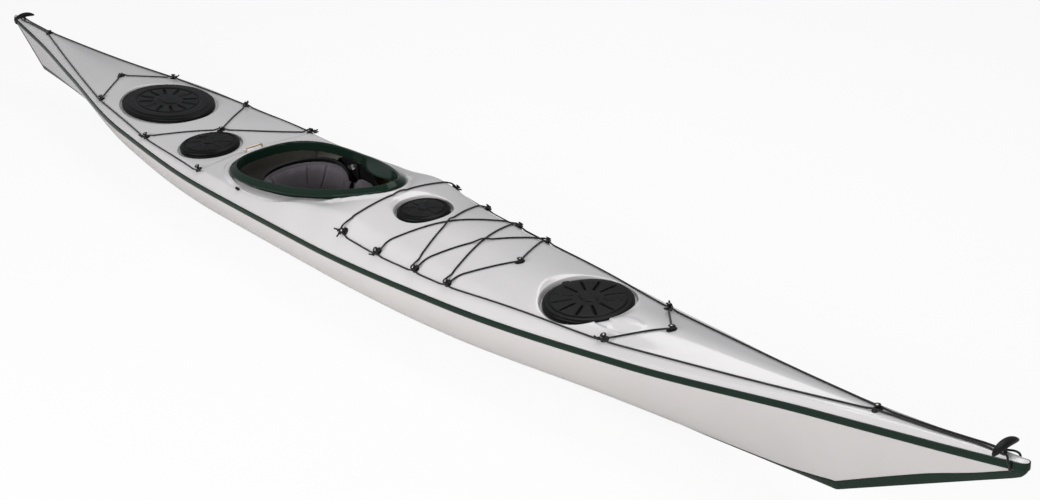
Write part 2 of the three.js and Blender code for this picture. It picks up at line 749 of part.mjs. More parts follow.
// Pod: a cup that hangs in the deck under its own lid
const podDepth = 120;
const podFloor = 3;
function podCup(hatch) {
  const floor = hatchFloor(hatch);
  const neck = neckOutset();
  const bottom = floor - podDepth;
  const ring = (outset, z) => ovalOutline(
    hatch.centre, hatch.long + outset, hatch.wide + outset, hatch.points,
  ).map(([x, y]) => new THREE.Vector3(x, y, z));
  const body = toSolid(loft([
    ring(neck - neckWall / 2, bottom), ring(neck - neckWall / 2, floor + fitGap),
    ring(neck, floor + fitGap), ring(neck, hatch.top - lidWall - fitGap),
  ]));
  return body.subtract(hatchPrism(hatch, neck - neckWall, bottom + podFloor, hatch.top));
}

// Seat: a pan with raised sides that rests on the hull's floor, and a foam liner inside it
const seatWidthShare = 0.6972;
const seatFromShare = -0.15722;
const seatToShare = -0.02194;
const seatHalfWidth = seatWidthShare * halfBeam;
const seatWall = 5;
const seatFrom = seatFromShare * halfLength;
const seatTo = seatToShare * halfLength;
const seatTurns = 7;
const seatSideShares = [[0, 0.62], [0.32, 0.95], [0.6, 1], [0.86, 0.68], [1, 0.36]];
const seatHeightShare = 0.4822;
const seatSideHeight = seatHeightShare * bowSeamHeight;
const seatSideTop = smoothTable(
  seatSideShares.map(([at]) => seatFrom + at * (seatTo - seatFrom)),
  seatSideShares.map(([, share]) => share * seatSideHeight),
);

// Half of the pan's section: along the floor, then up the side
function seatLine(x, inset) {
  const side = seatHalfWidth - inset;
  const points = [];
  for (let i = 0; i < seatTurns; i += 1) {
    const y = (side * i) / (seatTurns - 1);
    const sine = Math.min(y / (halfBreadth(x) - wall), 1) ** (sectionFullness(x) / 2);
    const floor = keelHeight(x) + wall * floorThickening;
    const fall = Math.sqrt(1 - sine * sine) ** (2 / sectionFullness(x));
    const z = seamHeight(x) - (seamHeight(x) - floor) * fall;
    points.push([y, z + fitGap + inset]);
  }
  return points;
}

function seatRing(x, outset, inset, topDrop) {
  const outer = seatLine(x, outset);
  const inner = seatLine(x, inset);
  const top = seatSideTop(x) - topDrop;
  outer.push([seatHalfWidth - outset, top]);
  inner.push([seatHalfWidth - inset, top]);
  const place = ([y, z]) => new THREE.Vector3(x, y, z);
  const mirrored = ([y, z]) => new THREE.Vector3(x, -y, z);
  return [
    ...outer.slice(1).reverse().map(mirrored), ...outer.map(place),
    ...inner.slice(1).reverse().map(place), ...inner.map(mirrored),
  ];
}

const seatStations = seatSideShares.map(([at]) => seatFrom + at * (seatTo - seatFrom));
const hingePlaceShare = -0.10969;
const hingeHeightShare = 0.2411;
const hingeX = hingePlaceShare * halfLength;
const hingeZ = hingeHeightShare * bowSeamHeight;
const hingePin = 6;
const hingePinSides = 12;
const pinSlack = 0.5;
const seatReach = 52;
function hingePins(slack, reach) {
  const radius = hingePin + slack;
  return [-1, 1].map((sign) => {
    const pin = new THREE.CylinderGeometry(radius, radius, reach, hingePinSides);
    return toSolid(pin.translate(hingeX, sign * (seatHalfWidth - seatWall / 2 - reach / 2), hingeZ));
  });
}

const hullRoom = toSolid(loft(innerHull(wall + fitGap)));
function seatPan() {
  const shell = toSolid(loft(seatStations.map((x) => seatRing(x, 0, seatWall, 0)))).intersect(hullRoom);
  return hingePins(0, seatReach).reduce((pan, pin) => pan.add(pin), shell);
}

const padMargin = 18;
const padFrom = seatFrom + padMargin;
const padTo = seatTo - padMargin;
const padCrown = 19;
const padWing = 14;
const padChannel = 4;
const padRows = 8;
const padChannelShares = [0.3, 0.62];
const padSideDrop = 22;
const padEndShare = 0.06;
const padFullness = 0.4;
const padFrontWing = 0.55;
const padChannelReach = 0.09;
const padNarrowing = 1.1;
const padFall = 0.25;
const padTopWing = 0.7;
function seatPad() {
  const rings = [];
  for (let r = 0; r <= padRows; r += 1) {
    const t = r / padRows;
    const x = padFrom + t * (padTo - padFrom);
    const along = Math.min(Math.max(t, padEndShare), 1 - padEndShare);
    const swell = Math.sin(Math.PI * along) ** padFullness;
    const line = seatLine(x, seatWall + fitGap);
    const sideY = seatHalfWidth - seatWall - fitGap;
    const top = seatSideTop(x) - padSideDrop;
    const wing = padWing * swell * (t * 2 > 1 ? 1 : padFrontWing);
    const outer = [...line, [sideY, top]];
    const inner = line.map(([y, z], i) => {
      const share = i / (line.length - 1);
      const dip = padChannelShares.some((at) => Math.abs(at - share) < padChannelReach) ? padChannel : 0;
      const narrow = y * (1 - (wing * padNarrowing) / sideY);
      return [narrow, z + (padCrown - dip) * swell * (1 - padFall * share)];
    });
    inner.push([sideY - wing, (inner.at(-1)[1] + top) / 2], [sideY - wing * padTopWing, top]);
    const place = ([y, z]) => new THREE.Vector3(x, y, z);
    const mirrored = ([y, z]) => new THREE.Vector3(x, -y, z);
    rings.push([
      ...outer.slice(1).reverse().map(mirrored), ...outer.map(place),
      ...inner.slice(1).reverse().map(place), ...inner.map(mirrored),
    ]);
  }
  const holes = hingePins(pinSlack, seatReach + overrun);
  return holes.reduce((pad, hole) => pad.subtract(hole), toSolid(loft(rings)));
}

// Backrest: a padded band bent round the paddler's back, on a pivot at each side of the seat
const backDepthShare = 0.05667;
const backSet = 60;
const backSideGap = 22;
const backDepth = backDepthShare * halfLength;
const backCentreX = seatFrom + backSet + backDepth;
const backHalfWidth = seatHalfWidth - backSideGap;
const backReach = 86;
const backColumns = 14;
const backHeightShares = [0.1827, 0.5964];
const armHeightShares = [0.2132, 0.43];
const [backBottom, backTop] = backHeightShares.map((share) => share * bowSeamHeight);
const [armBottom, armTop] = armHeightShares.map((share) => share * bowSeamHeight);
const backPadThickness = 22;
const backShellThickness = 5;
const backChannelShares = [0.3, 0.7];
const backRiseShares = [0.2, 0.5, 0.8];
const backFullness = 0.8;
function backSection(turn, outer, inner, trim, crown) {
  const middle = Math.cos(turn) ** backFullness;
  const low = armBottom + (backBottom - armBottom) * middle + trim;
  const high = armTop + (backTop - armTop) * middle - trim;
  const out = new THREE.Vector2(Math.cos(turn) / backDepth, Math.sin(turn) / backHalfWidth).normalize();
  const at = (offset, z) => new THREE.Vector3(
    backCentreX - backDepth * Math.cos(turn) - out.x * offset,
    backHalfWidth * Math.sin(turn) + out.y * offset, z,
  );
  const rise = high - low;
  return [
    at(outer, low), at(inner, low + crown),
    ...backRiseShares.map((share) => at(inner - crown, low + rise * share)),
    at(inner, high - crown), at(outer, high),
  ];
}

const backTurns = Array.from({ length: backColumns + 1 }, (_, i) => (
  ((i / backColumns) * 2 - 1) * THREE.MathUtils.degToRad(backReach)
));
const backPadTurns = backTurns.slice(1, -1);
function backPad() {
  const last = backPadTurns.length - 1;
  const body = toSolid(loft(backPadTurns.map((turn, i) => {
    const channel = backChannelShares.some((share) => Math.round(share * last) === i) ? padChannel : 0;
    const end = i === 0 || i === last ? padChannel * 2 : 0;
    return backSection(turn, -fitGap, -backPadThickness / 2 + channel + end, 0, padChannel);
  })));
  return hingePins(pinSlack, seatHalfWidth).reduce((pad, pin) => pad.subtract(pin), body);
}

function backShell() {
  const sections = backTurns.map((turn) => backSection(turn, backShellThickness, 0, -padChannel / 2, 0));
  const body = toSolid(loft(sections));
  return hingePins(pinSlack, seatHalfWidth).reduce((shell, pin) => shell.subtract(pin), body);
}

// Footbraces: a slotted rail bolted to each side of the hull, and a pedal that slides along it
const railPlaceShares = [0.13894, 0.27788];
const railHeightShare = 0.2919;
const [railFrom, railTo] = railPlaceShares.map((share) => share * halfLength);
const railHeight = railHeightShare * bowSeamHeight;
const railThickness = 10;
const railDepth = 24;
const railStandoff = 15;
const railSlot = 8;
const railSlotMargin = 20;
const studRadius = 6;
const studInset = 10;
const pedalDepth = 85;
const pedalWidth = 75;
const pedalThickness = 10;
const carriageLength = 44;
const carriageThickness = 8;
const tongueLength = 24;
function innerSide(x, z) {
  const turns = Array.from({ length: innerTurns + 1 }, (_, i) => ((i / innerTurns) * Math.PI) / 2);
  const half = turns.map((turn) => hullPoint(x, turn, wall));
  const next = half.findIndex(([, height]) => height > z);
  const [[lowY, lowZ], [highY, highZ]] = half.slice(next - 1, next + 1);
  return lowY + ((highY - lowY) * (z - lowZ)) / (highZ - lowZ);
}

const railPlace = (() => {
  const underside = railHeight - railDepth / 2;
  const from = new THREE.Vector3(railFrom, innerSide(railFrom, underside), railHeight);
  const to = new THREE.Vector3(railTo, innerSide(railTo, underside), railHeight);
  const along = to.clone().sub(from).normalize();
  const middle = from.add(to).divideScalar(2);
  middle.y -= railStandoff + railThickness / 2;
  return { along, middle, turn: Math.atan2(along.y, along.x) };
})();

function onRail(shape, sign) {
  const turned = shape.rotateZ(railPlace.turn).translate(...railPlace.middle.toArray());
  return sign > 0 ? toSolid(turned) : toSolid(turned).mirror([0, 1, 0]);
}

function footRail(sign) {
  const length = railTo - railFrom;
  const half = [length / 2, railThickness / 2, railDepth / 2];
  const slotHalf = [length / 2 - railSlotMargin, railThickness, railSlot / 2];
  const bar = onRail(boxBetween(half.map((v) => -v), half), sign);
  const slot = onRail(boxBetween(slotHalf.map((v) => -v), slotHalf), sign);
  const studs = [-1, 1].map((end) => {
    const reach = railStandoff + overrun;
    const stud = new THREE.CylinderGeometry(studRadius, studRadius, reach, 8);
    const across = stud.translate(end * (length / 2 - studInset), (reach + railThickness) / 2, 0);
    return onRail(across, sign).intersect(hullRoom);
  });
  return studs.reduce((rail, stud) => rail.add(stud), bar.subtract(slot));
}

function footPeg(sign) {
  const face = -railThickness / 2 - fitGap;
  const carriage = boxBetween(
    [-carriageLength / 2, face - carriageThickness, -railDepth / 2],
    [carriageLength / 2, face, railDepth / 2],
  );
  const tongue = boxBetween(
    [-tongueLength / 2, face - fitGap, -railSlot / 2 + pinSlack],
    [tongueLength / 2, railThickness / 2, railSlot / 2 - pinSlack],
  );
  const pedal = boxBetween(
    [-carriageLength / 2, face - pedalWidth, -railDepth],
    [pedalThickness - carriageLength / 2, face, pedalDepth - railDepth],
  );
  return onRail(carriage, sign).add(onRail(tongue, sign)).add(onRail(pedal, sign));
}

// Skeg slider: a slotted track let into the deck beside the cockpit, and its knob
const trackPlaceShares = [-0.10969, -0.05484];
const trackSideShare = -0.8807;
const [trackFrom, trackTo] = trackPlaceShares.map((share) => share * halfLength);
const trackY = trackSideShare * halfBeam;
const trackWidth = 12;
const trackThickness = 10;
const trackProud = 1;
const trackGroove = 4;
const trackGrooveMargin = 8;
const knobRadius = 5.5;
const knobHeight = 13;
const knobTopShare = 0.85;
const knobSides = 12;
const neckSides = 8;
const knobTravel = 100;
const knobStart = 22;
const trackBase = aboveDeck(trackFrom, trackY, 0);
const trackAlong = aboveDeck(trackTo, trackY, 0).sub(trackBase);
const trackLength = trackAlong.length();
trackAlong.normalize();
const trackUp = deckNormal((trackFrom + trackTo) / 2, trackY);
trackUp.addScaledVector(trackAlong, -trackUp.dot(trackAlong)).normalize();
function onTrack(shape) {
  const side = trackUp.clone().cross(trackAlong);
  const frame = new THREE.Matrix4().makeBasis(trackAlong, side, trackUp).setPosition(trackBase);
  return toSolid(shape.applyMatrix4(frame));
}

const trackBody = (margin, top) => onTrack(boxBetween(
  [-margin, -trackWidth / 2 - margin, trackProud - trackThickness - margin],
  [trackLength + margin, trackWidth / 2 + margin, top],
));
const grooveBody = (margin) => onTrack(boxBetween(
  [trackGrooveMargin, -trackGroove / 2 - margin, -trackThickness / 2],
  [trackLength - trackGrooveMargin, trackGroove / 2 + margin, overrun],
));

function sliderKnob() {
  const neckHeight = trackThickness / 2 - fitGap * 2;
  const neckRadius = trackGroove / 2 - fitGap;
  const neck = new THREE.CylinderGeometry(neckRadius, neckRadius, neckHeight + knobHeight, neckSides);
  const head = new THREE.CylinderGeometry(knobRadius * knobTopShare, knobRadius, knobHeight, knobSides);
  const lift = trackProud + fitGap;
  neck.rotateX(Math.PI / 2).translate(knobStart, 0, lift + (knobHeight - neckHeight) / 2);
  head.rotateX(Math.PI / 2).translate(knobStart, 0, lift + knobHeight / 2);
  return onTrack(neck).add(onTrack(head));
}

// Deck fittings: a round foot, a post and a head that holds the line down
const footRadius = 13;
const footSink = 4;
const footThickness = 2;
const postRadius = 5;
const postTop = 15;
const headRadius = 9;
const headTop = 18.5;
const headTopShare = 0.66;
const fittingSides = 6;
const foreInset = 47;
const aftInset = 34;
const forePlaceShares = [0.5473, 0.3225, 0.2676, 0.2007, 0.1375];
const aftPlaceShares = [-0.2066, -0.3693, -0.5532];
const centrePlaceShares = [0.8503, 0.5978, 0.362, -0.2998, -0.6062, -0.8607];
const liftedDeck = deckOuter.translate(0, 0, fitGap);

function post(x, y) {
  return { x, y, base: aboveDeck(x, y, 0), up: deckNormal(x, y) };
}

const sidePosts = (sign) => [
  ...forePlaceShares.map((share) => [share * halfLength, foreInset]),
  ...aftPlaceShares.map((share) => [share * halfLength, aftInset]),
].map(([x, inset]) => post(x, sign * (halfBreadth(x) - inset)));
const port = sidePosts(1);
const starboard = sidePosts(-1);
const centre = centrePlaceShares.map((share) => post(share * halfLength, 0));

function fitting({ base, up }) {
  const profile = [
    [0, -footSink], [footRadius, -footSink], [footRadius, footThickness],
    [postRadius, footThickness + fitGap], [postRadius, postTop],
    [headRadius, postTop], [headRadius * headTopShare, headTop], [0, headTop],
  ].map(([r, z]) => new THREE.Vector2(r, z));
  const lathe = new THREE.LatheGeometry(profile, fittingSides);
  const turn = new THREE.Quaternion().setFromUnitVectors(new THREE.Vector3(0, 1, 0), up);
  lathe.applyQuaternion(turn).translate(...base.toArray());
  return toSolid(lathe).subtract(liftedDeck);
}

// A rope runs through hand-made points, with one ring of its section at each
const ropeRadius = 2.75;
const ropeSides = 6;
class Route extends THREE.Curve {
  constructor(points) {
    super();
    this.points = points;
  }

  getPoint(t, target = new THREE.Vector3()) {
    const place = t * (this.points.length - 1);
    const i = Math.min(Math.floor(place), this.points.length - 2);
    return target.lerpVectors(this.points[i], this.points[i + 1], place - i);
  }

  getPointAt(t, target) {
    return this.getPoint(t, target);
  }

  getTangentAt(t, target = new THREE.Vector3()) {
    const i = Math.round(t * (this.points.length - 1));
    const before = this.points[Math.max(i - 1, 0)];
    const after = this.points[Math.min(i + 1, this.points.length - 1)];
    const here = this.points[i];
    const arriving = here.clone().sub(before).normalize();
    return target.subVectors(after, here).normalize().add(arriving).normalize();
  }
}

function rope(points, radius = ropeRadius) {
  const section = new THREE.Shape(Array.from({ length: ropeSides }, (_, i) => {
    const turn = (i / ropeSides) * 2 * Math.PI;
    return new THREE.Vector2(radius * Math.cos(turn), radius * Math.sin(turn));
  }));
  const path = new Route(points);
  const sweep = { steps: points.length - 1, extrudePath: path, bevelEnabled: false };
  return toSolid(new THREE.ExtrudeGeometry(section, sweep));
}

const knotRadius = 6.5;
function knot(at) {
  return toSolid(new THREE.OctahedronGeometry(knotRadius).translate(...at.toArray()));
}

// Elastic and line heights over the deck, from the rope's middle
const lineRest = 5;
const lineAtPost = 6;
const elasticAtPost = 12.1;
const crossingLift = 6.6;
const postClearance = 1.1;
const legPitch = 190;
const elasticPitch = 95;
const rampLength = 34;
const overPost = ({ base, up }, dx, dy, height) => {
  const offset = new THREE.Vector3(dx, dy, 0);
  const flat = offset.clone().addScaledVector(up, -offset.dot(up)).setLength(offset.length());
  return base.clone().add(flat).addScaledVector(up, height);
};

// Straight run in plan from one point to another, resting on the deck between its ends.
// A run that crosses the middle of the deck has a point there, lifted where it lies on another
function deckRun(from, to, pitch, lift = 0) {
  const span = Math.hypot(to.x - from.x, to.y - from.y);
  const first = rampLength / span;
  const middle = from.y / (from.y - to.y);
  const parts = from.y * to.y < 0 ? [[first, middle], [middle, 1 - first]] : [[first, 1 - first]];
  const places = parts.flatMap(([start, end]) => evenSteps(start, end, pitch / span));
  return [...places, 1 - first].map((t) => {
    const x = from.x + (to.x - from.x) * t;
    const y = from.y + (to.y - from.y) * t;
    return aboveDeck(x, y, lineRest + (t === middle ? lift : 0));
  });
}

// The half turn of an elastic round a post, between the legs from one post and to another
const postTurnShares = [-1, -0.4, 0.4, 1];
const straightLimit = 0.05;
function roundPost(at, before, after, height = elasticAtPost) {
  const radius = postRadius + ropeRadius + postClearance;
  const toBefore = new THREE.Vector2(before.x - at.x, before.y - at.y).normalize();
  const toAfter = new THREE.Vector2(after.x - at.x, after.y - at.y).normalize();
  const away = toBefore.clone().add(toAfter);
  if (away.length() < straightLimit) away.set(0, -Math.sign(at.y));
  const outward = Math.atan2(-away.y, -away.x);
  const turn = toBefore.x * toAfter.y - toBefore.y * toAfter.x > 0 ? 1 : -1;
  const half = (Math.PI - Math.acos(THREE.MathUtils.clamp(toBefore.dot(toAfter), -1, 1))) / 2;
  return postTurnShares.map((share) => {
    const angle = outward - turn * share * half;
    return overPost(at, radius * Math.cos(angle), radius * Math.sin(angle), height);
  });
}

// The end of an elastic: beside its post, through a knot and out to a short tail
const endApproach = 10;
const endPast = 6;
const knotPast = 14;
const lineKnotPast = 20;
const tailPast = 28;
const tailRise = 8;
const postOffset = postRadius + ropeRadius + postClearance;
const knotSideShare = 0.6;
function elasticEnd(at, other, hand) {
  const out = new THREE.Vector2(at.x - other.x, at.y - other.y).normalize();
  const side = new THREE.Vector2(-out.y, out.x).multiplyScalar(hand * postOffset);
  const place = (along, across, height) => overPost(
    at, out.x * along + side.x * across, out.y * along + side.y * across, height,
  );
  const knotPlace = place(knotPast, knotSideShare, elasticAtPost + ropeRadius);
  return {
    knot: knotPlace,
    points: [
      place(-endApproach, 1, elasticAtPost), place(endPast, 1, elasticAtPost + fitGap),
      knotPlace, place(tailPast, knotSideShare, elasticAtPost + tailRise),
    ],
  };
}

function elastic(posts, lifts = [], hands = [1, -1]) {
  const start = elasticEnd(posts[0], posts[1], hands[0]);
  const finish = elasticEnd(posts.at(-1), posts.at(-2), hands[1]);
  const route = [...start.points].reverse();
  posts.slice(1).forEach((at, i) => {
    route.push(...deckRun(posts[i], at, elasticPitch, lifts[i] ?? 0));
    if (i + 2 < posts.length) route.push(...roundPost(at, posts[i], posts[i + 2]));
  });
  route.push(...finish.points);
  return rope(route).add(knot(start.knot)).add(knot(finish.knot));
}

// A leg of elastic from a post of its own that joins another elastic beside a post
function branch(from, to) {
  const start = elasticEnd(from, to, 1);
  const toward = new THREE.Vector2(from.x - to.x, from.y - to.y).normalize().multiplyScalar(postOffset);
  return rope([
    ...start.points.reverse(), ...deckRun(from, to, elasticPitch),
    overPost(to, toward.x, toward.y, elasticAtPost),
  ]).add(knot(start.knot));
}

// The deck line passes outside its fittings, beside the toggle and through the hole in the stem
const holeReach = 20;
function stemLoop(toggleX, hole, sign) {
  const edge = halfBreadth(hole.x);
  const seam = seamHeight(hole.x);
  const past = Math.sign(hole.x);
  const rim = seam + gunwaleRise(hole.x);
  const clear = edge + bandGap + trimThickness + ropeRadius + lineRest / 2;
  return [
    aboveDeck(toggleX, sign * postOffset, lineRest),
    new THREE.Vector3(hole.x - past * (holeReach / 2), sign * (edge - ropeRadius), rim + lineRest + fitGap),
    new THREE.Vector3(hole.x - past * ropeRadius, sign * (clear - fitGap), seam + bandHeight / 2),
    new THREE.Vector3(hole.x, sign * clear, seam - bandHeight / 3),
    new THREE.Vector3(hole.x, sign * (clear - ropeRadius / 2), seam + hole.rise + ropeRadius),
    new THREE.Vector3(hole.x, sign * (edge - ropeRadius / 2), seam + hole.rise),
  ];
}

function deckLine(sides, middlePost, toggleX, hole) {
  const half = (sign) => {
    const posts = sides(sign);
    const beside = (at) => ({ x: at.x, y: at.y + sign * postOffset });
    const stops = [...posts.map(beside), { x: middlePost.x, y: sign * postOffset }];
    const all = [...posts, middlePost];
    const route = [];
    all.forEach((at, i) => {
      route.push(overPost(at, 0, sign * postOffset, lineAtPost));
      const next = stops[i + 1] ?? { x: toggleX - Math.sign(hole.x) * rampLength, y: sign * postOffset };
      route.push(...deckRun(stops[i], next, legPitch));
    });
    const away = Math.sign(posts[0].x - posts[1].x);
    const knotAt = overPost(posts[0], away * lineKnotPast, sign * postOffset, lineAtPost + ropeRadius);
    const tailReach = away * (lineKnotPast + knotPast);
    const tail = overPost(posts[0], tailReach, sign * postOffset, lineAtPost + tailRise);
    return { knotAt, route: [tail, knotAt, ...route, ...stemLoop(toggleX, hole, sign)] };
  };
  const [first, second] = [half(-1), half(1)];
  return rope([...first.route, ...second.route.reverse()]).add(knot(first.knotAt)).add(knot(second.knotAt));
}

// Toggles: a stem on the deck with a crescent grip across it
const toggleSet = 61;
const sternToggleStep = 52;
const bowToggleX = halfLength - toggleSet;
const sternToggleX = -bowToggleX + sternToggleStep;
const toggleHalfGrip = 45;
const toggleRadius = 8;
const toggleEndShare = 0.62;
const toggleStem = 4.5;
const toggleHeight = 27;
const toggleCurve = 9;
const toggleRings = 6;
const toggleSides = 8;
const stemSides = 16;
const toggleFootGap = 1;
function toggle(x) {
  const base = aboveDeck(x, 0, 0);
  const rings = Array.from({ length: toggleRings + 1 }, (_, r) => {
    const t = (r / toggleRings) * 2 - 1;
    const radius = toggleRadius * (1 - (1 - toggleEndShare) * t * t);
    return Array.from({ length: toggleSides }, (__, i) => {
      const turn = (i / toggleSides) * 2 * Math.PI;
      return new THREE.Vector3(
        base.x + radius * Math.cos(turn), t * toggleHalfGrip,
        base.z + toggleHeight - toggleCurve * t * t + radius * Math.sin(turn),
      );
    });
  });
  const foot = Math.max(deckHeight(x - toggleStem, 0), deckHeight(x + toggleStem, 0)) + toggleFootGap;
  const top = base.z + toggleHeight;
  const stem = new THREE.CylinderGeometry(toggleStem, toggleStem, top - foot, stemSides);
  stem.rotateX(Math.PI / 2).translate(base.x, 0, (top + foot) / 2);
  return toSolid(loft(rings)).add(toSolid(stem));
}

// Security bar: a staple bolted across the deck behind the cockpit
const barSet = 39.5;
const barX = coamingRear - barSet;
const barHalfWidth = 35;
const barRadius = 4;
const barRise = 17;
const barBend = 8;
function securityBar() {
  const foot = deckHeight(barX, barHalfWidth);
  const points = [
    [barHalfWidth, -barRadius], [barHalfWidth, barRise - barBend],
    [barHalfWidth - barBend / 3, barRise - barBend / 3],
    [barHalfWidth - barBend, barRise],
  ];
  const side = (sign) => points.map(([y, z]) => new THREE.Vector3(barX, sign * y, foot + z));
  return rope([...side(-1), ...side(1).reverse()], barRadius).subtract(liftedDeck);
}

addPiece('hull_shell', hullShell, 'gelcoatHull');
addPiece('seam_band', seamBand(), 'greenGelcoat');
addPiece('keel_strip', keelStrip(), 'greenGelcoat');
addPiece('cockpit_coaming', toSolid(coamingGeometry()), 'greenGelcoat');
addPiece('skeg_box', skegBox, 'blackPlastic');
addPiece('skeg_blade', skegBlade, 'blackPlastic');
for (const [name, x] of Object.entries(bulkheadPlaces)) {
  addPiece(`bulkhead_${name}`, bulkhead(x), 'laminate');
}
for (const [name, hatch] of Object.entries(hatches)) {
  if (name !== 'pod') addPiece(`hatch_rim_${name}`, toSolid(hatchRim(hatch)), 'blackPlastic');
  addPiece(`hatch_lid_${name}`, hatchLid(hatch), 'blackRubber');
}
addPiece('deck_shell', deckShell.subtract(trackBody(fitGap, overrun)), 'gelcoatDeck');
addPiece('pod_cup', podCup(hatches.pod), 'blackPlastic');
addPiece('seat_pan', seatPan(), 'blackPlastic');
addPiece('seat_pad', seatPad(), 'greyFoam');
addPiece('backrest_shell', backShell(), 'blackPlastic');
addPiece('backrest_pad', backPad(), 'greyFoam');
for (const [name, sign] of [['port', 1], ['starboard', -1]]) {
  addPiece(`footbrace_rail_${name}`, footRail(sign), 'aluminium');
  addPiece(`foot_peg_${name}`, footPeg(sign), 'blackPlastic');
  const posts = sign > 0 ? port : starboard;
  posts.forEach((at, i) => addPiece(`deck_fitting_${name}_${i + 1}`, fitting(at), 'blackPlastic'));
}
centre.forEach((at, i) => addPiece(`centre_fitting_${i + 1}`, fitting(at), 'blackPlastic'));
addPiece('skeg_slider_track', trackBody(0, trackProud).subtract(grooveBody(0)), 'blackPlastic');
addPiece('skeg_slider_knob', sliderKnob(), 'blackPlastic');
addPiece('security_bar', securityBar(), 'steel');
addPiece('toggle_bow', toggle(bowToggleX), 'blackPlastic');
addPiece('toggle_stern', toggle(sternToggleX), 'blackPlastic');
const foreSide = (sign) => (sign > 0 ? port : starboard).slice(0, forePlaceShares.length).reverse();
const aftSide = (sign) => (sign > 0 ? port : starboard).slice(forePlaceShares.length);
addPiece('fore_deck_line', deckLine(foreSide, centre[0], bowToggleX, loopHoles[0]), 'blackCord');
addPiece('aft_deck_line', deckLine(aftSide, centre[5], sternToggleX, loopHoles[1]), 'blackCord');
addPiece('elastic_fore_straight', elastic([starboard[4], port[4]], [], [-1, 1]), 'blackCord');
addPiece('elastic_fore_zigzag', elastic(
  [starboard[3], port[2], starboard[1], centre[2], port[1], starboard[2], port[3]],
  [0, 0, 0, 0, crossingLift, crossingLift],
), 'blackCord');
addPiece('elastic_bow', elastic([starboard[0], centre[1], port[0]]), 'blackCord');
addPiece('elastic_stern', elastic([starboard[7], centre[4], port[7]]), 'blackCord');
const aftCross = elastic([starboard[6], centre[3], port[5]], [], [1, 1]);
addPiece('elastic_aft', aftCross.add(branch(port[6], centre[3])), 'blackCord');

export default kayak;
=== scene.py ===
"""Sea kayak, dressed for the camera: smooth hull and deck skins, lids, fittings, lines and seat.

Lengths are in metres, x runs to the bow, y to port and z up from the floor. The tables that draw the boat
go by shares of half its length, as in the CAD."""

import math

import bmesh
import bpy
import numpy as np
from mathutils import Matrix, Vector


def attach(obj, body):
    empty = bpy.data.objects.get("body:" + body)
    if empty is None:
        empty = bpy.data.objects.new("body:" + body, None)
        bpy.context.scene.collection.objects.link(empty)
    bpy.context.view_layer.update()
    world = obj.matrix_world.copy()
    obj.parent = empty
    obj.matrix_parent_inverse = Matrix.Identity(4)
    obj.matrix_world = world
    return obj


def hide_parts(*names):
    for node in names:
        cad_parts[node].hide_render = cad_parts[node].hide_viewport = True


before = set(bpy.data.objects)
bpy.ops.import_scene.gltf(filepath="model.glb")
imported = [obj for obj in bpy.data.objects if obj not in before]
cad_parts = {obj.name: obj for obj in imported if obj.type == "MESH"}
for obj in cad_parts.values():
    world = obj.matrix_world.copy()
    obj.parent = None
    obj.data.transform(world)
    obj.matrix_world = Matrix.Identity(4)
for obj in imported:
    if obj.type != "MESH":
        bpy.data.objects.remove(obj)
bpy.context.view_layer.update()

# The boat's driving sizes, in metres
HALF_LENGTH = 2.735
HALF_BEAM = 0.2725
SEAM_TOP = 0.394        # height of the seam at the stem
FOREFOOT = 0.080        # height of the keel at the forefoot
TRIM = 0.0015           # how far the green mouldings stand out
FIT = 0.0003            # gap between bonded parts
SHELL = 0.004           # wall of hull and deck
SOLE = TRIM + FIT       # height of the hull's flat bottom
BAND_HEIGHT = 0.020
TIP_RADIUS = 0.018      # rounding of both ends in plan
TIP_CORNER = 0.022      # rounding of the ends' lower corners
GUNWALE = 0.030         # height from the seam to the deck's edge, at most
GUNWALE_LEAN = 0.28
EDGE_RADIUS = 0.005
NARROW = 0.03           # deck edges closer to the middle than this lose their rounding
MIRROR = np.array([1, -1, 1])


def smooth_curve(shares, size):
    """Cubic through a table of places along the boat that never overshoots it, as a function of x."""
    table = np.array(shares, float)
    xs, ys = table[:, 0] * HALF_LENGTH, table[:, 1] * size
    steps = np.diff(ys) / np.diff(xs)
    before, after = steps[:-1], steps[1:]
    total = np.where(np.abs(before + after) < 1e-12, 1.0, before + after)
    inner = np.where(before * after <= 0, 0.0, 2 * before * after / total)
    slopes = np.concatenate([steps[:1], inner, steps[-1:]])

    def at(x):
        x = np.clip(x, xs[0], xs[-1])
        i = np.clip(np.searchsorted(xs, x, side="right") - 1, 0, len(xs) - 2)
        return hermite(x, xs[i], xs[i + 1], ys[i], ys[i + 1], slopes[i], slopes[i + 1])

    return at


def hermite(x, x0, x1, y0, y1, m0, m1):
    """Cubic from y0 to y1 with end slopes m0 and m1."""
    span = x1 - x0
    t = (x - x0) / span
    return y0 + (y1 - y0) * t * t * (3 - 2 * t) + span * t * (1 - t) * ((1 - t) * m0 - t * m1)


half_breadth = smooth_curve([
    (-1, 0.040), (-0.878, 0.158), (-0.695, 0.455), (-0.439, 0.879), (-0.183, 1), (0.073, 0.994),
    (0.329, 0.869), (0.585, 0.555), (0.804, 0.184), (0.914, 0.088), (1, 0.048)], HALF_BEAM)
seam_height = smooth_curve([
    (-1, 0.763), (-0.878, 0.680), (-0.695, 0.604), (-0.439, 0.525), (-0.183, 0.464),
    (0.073, 0.477), (0.329, 0.528), (0.585, 0.635), (0.804, 0.787), (0.914, 0.893), (1, 1)], SEAM_TOP)
HEEL, FOREFOOT_AT = -0.916, 0.8095
keel_between = smooth_curve([
    (HEEL, 1.275), (-0.695, 0.69), (-0.439, 0.33), (-0.2, 0), (0.21, 0),
    (0.402, 0.22), (0.622, 0.46), (FOREFOOT_AT, 1)], FOREFOOT)
fullness = smooth_curve([
    (-1, 1.08), (HEEL, 1.14), (-0.622, 1.5), (-0.293, 2.33), (0.293, 2.33),
    (0.549, 1.67), (FOREFOOT_AT, 1.12), (1, 1.08)], 1)
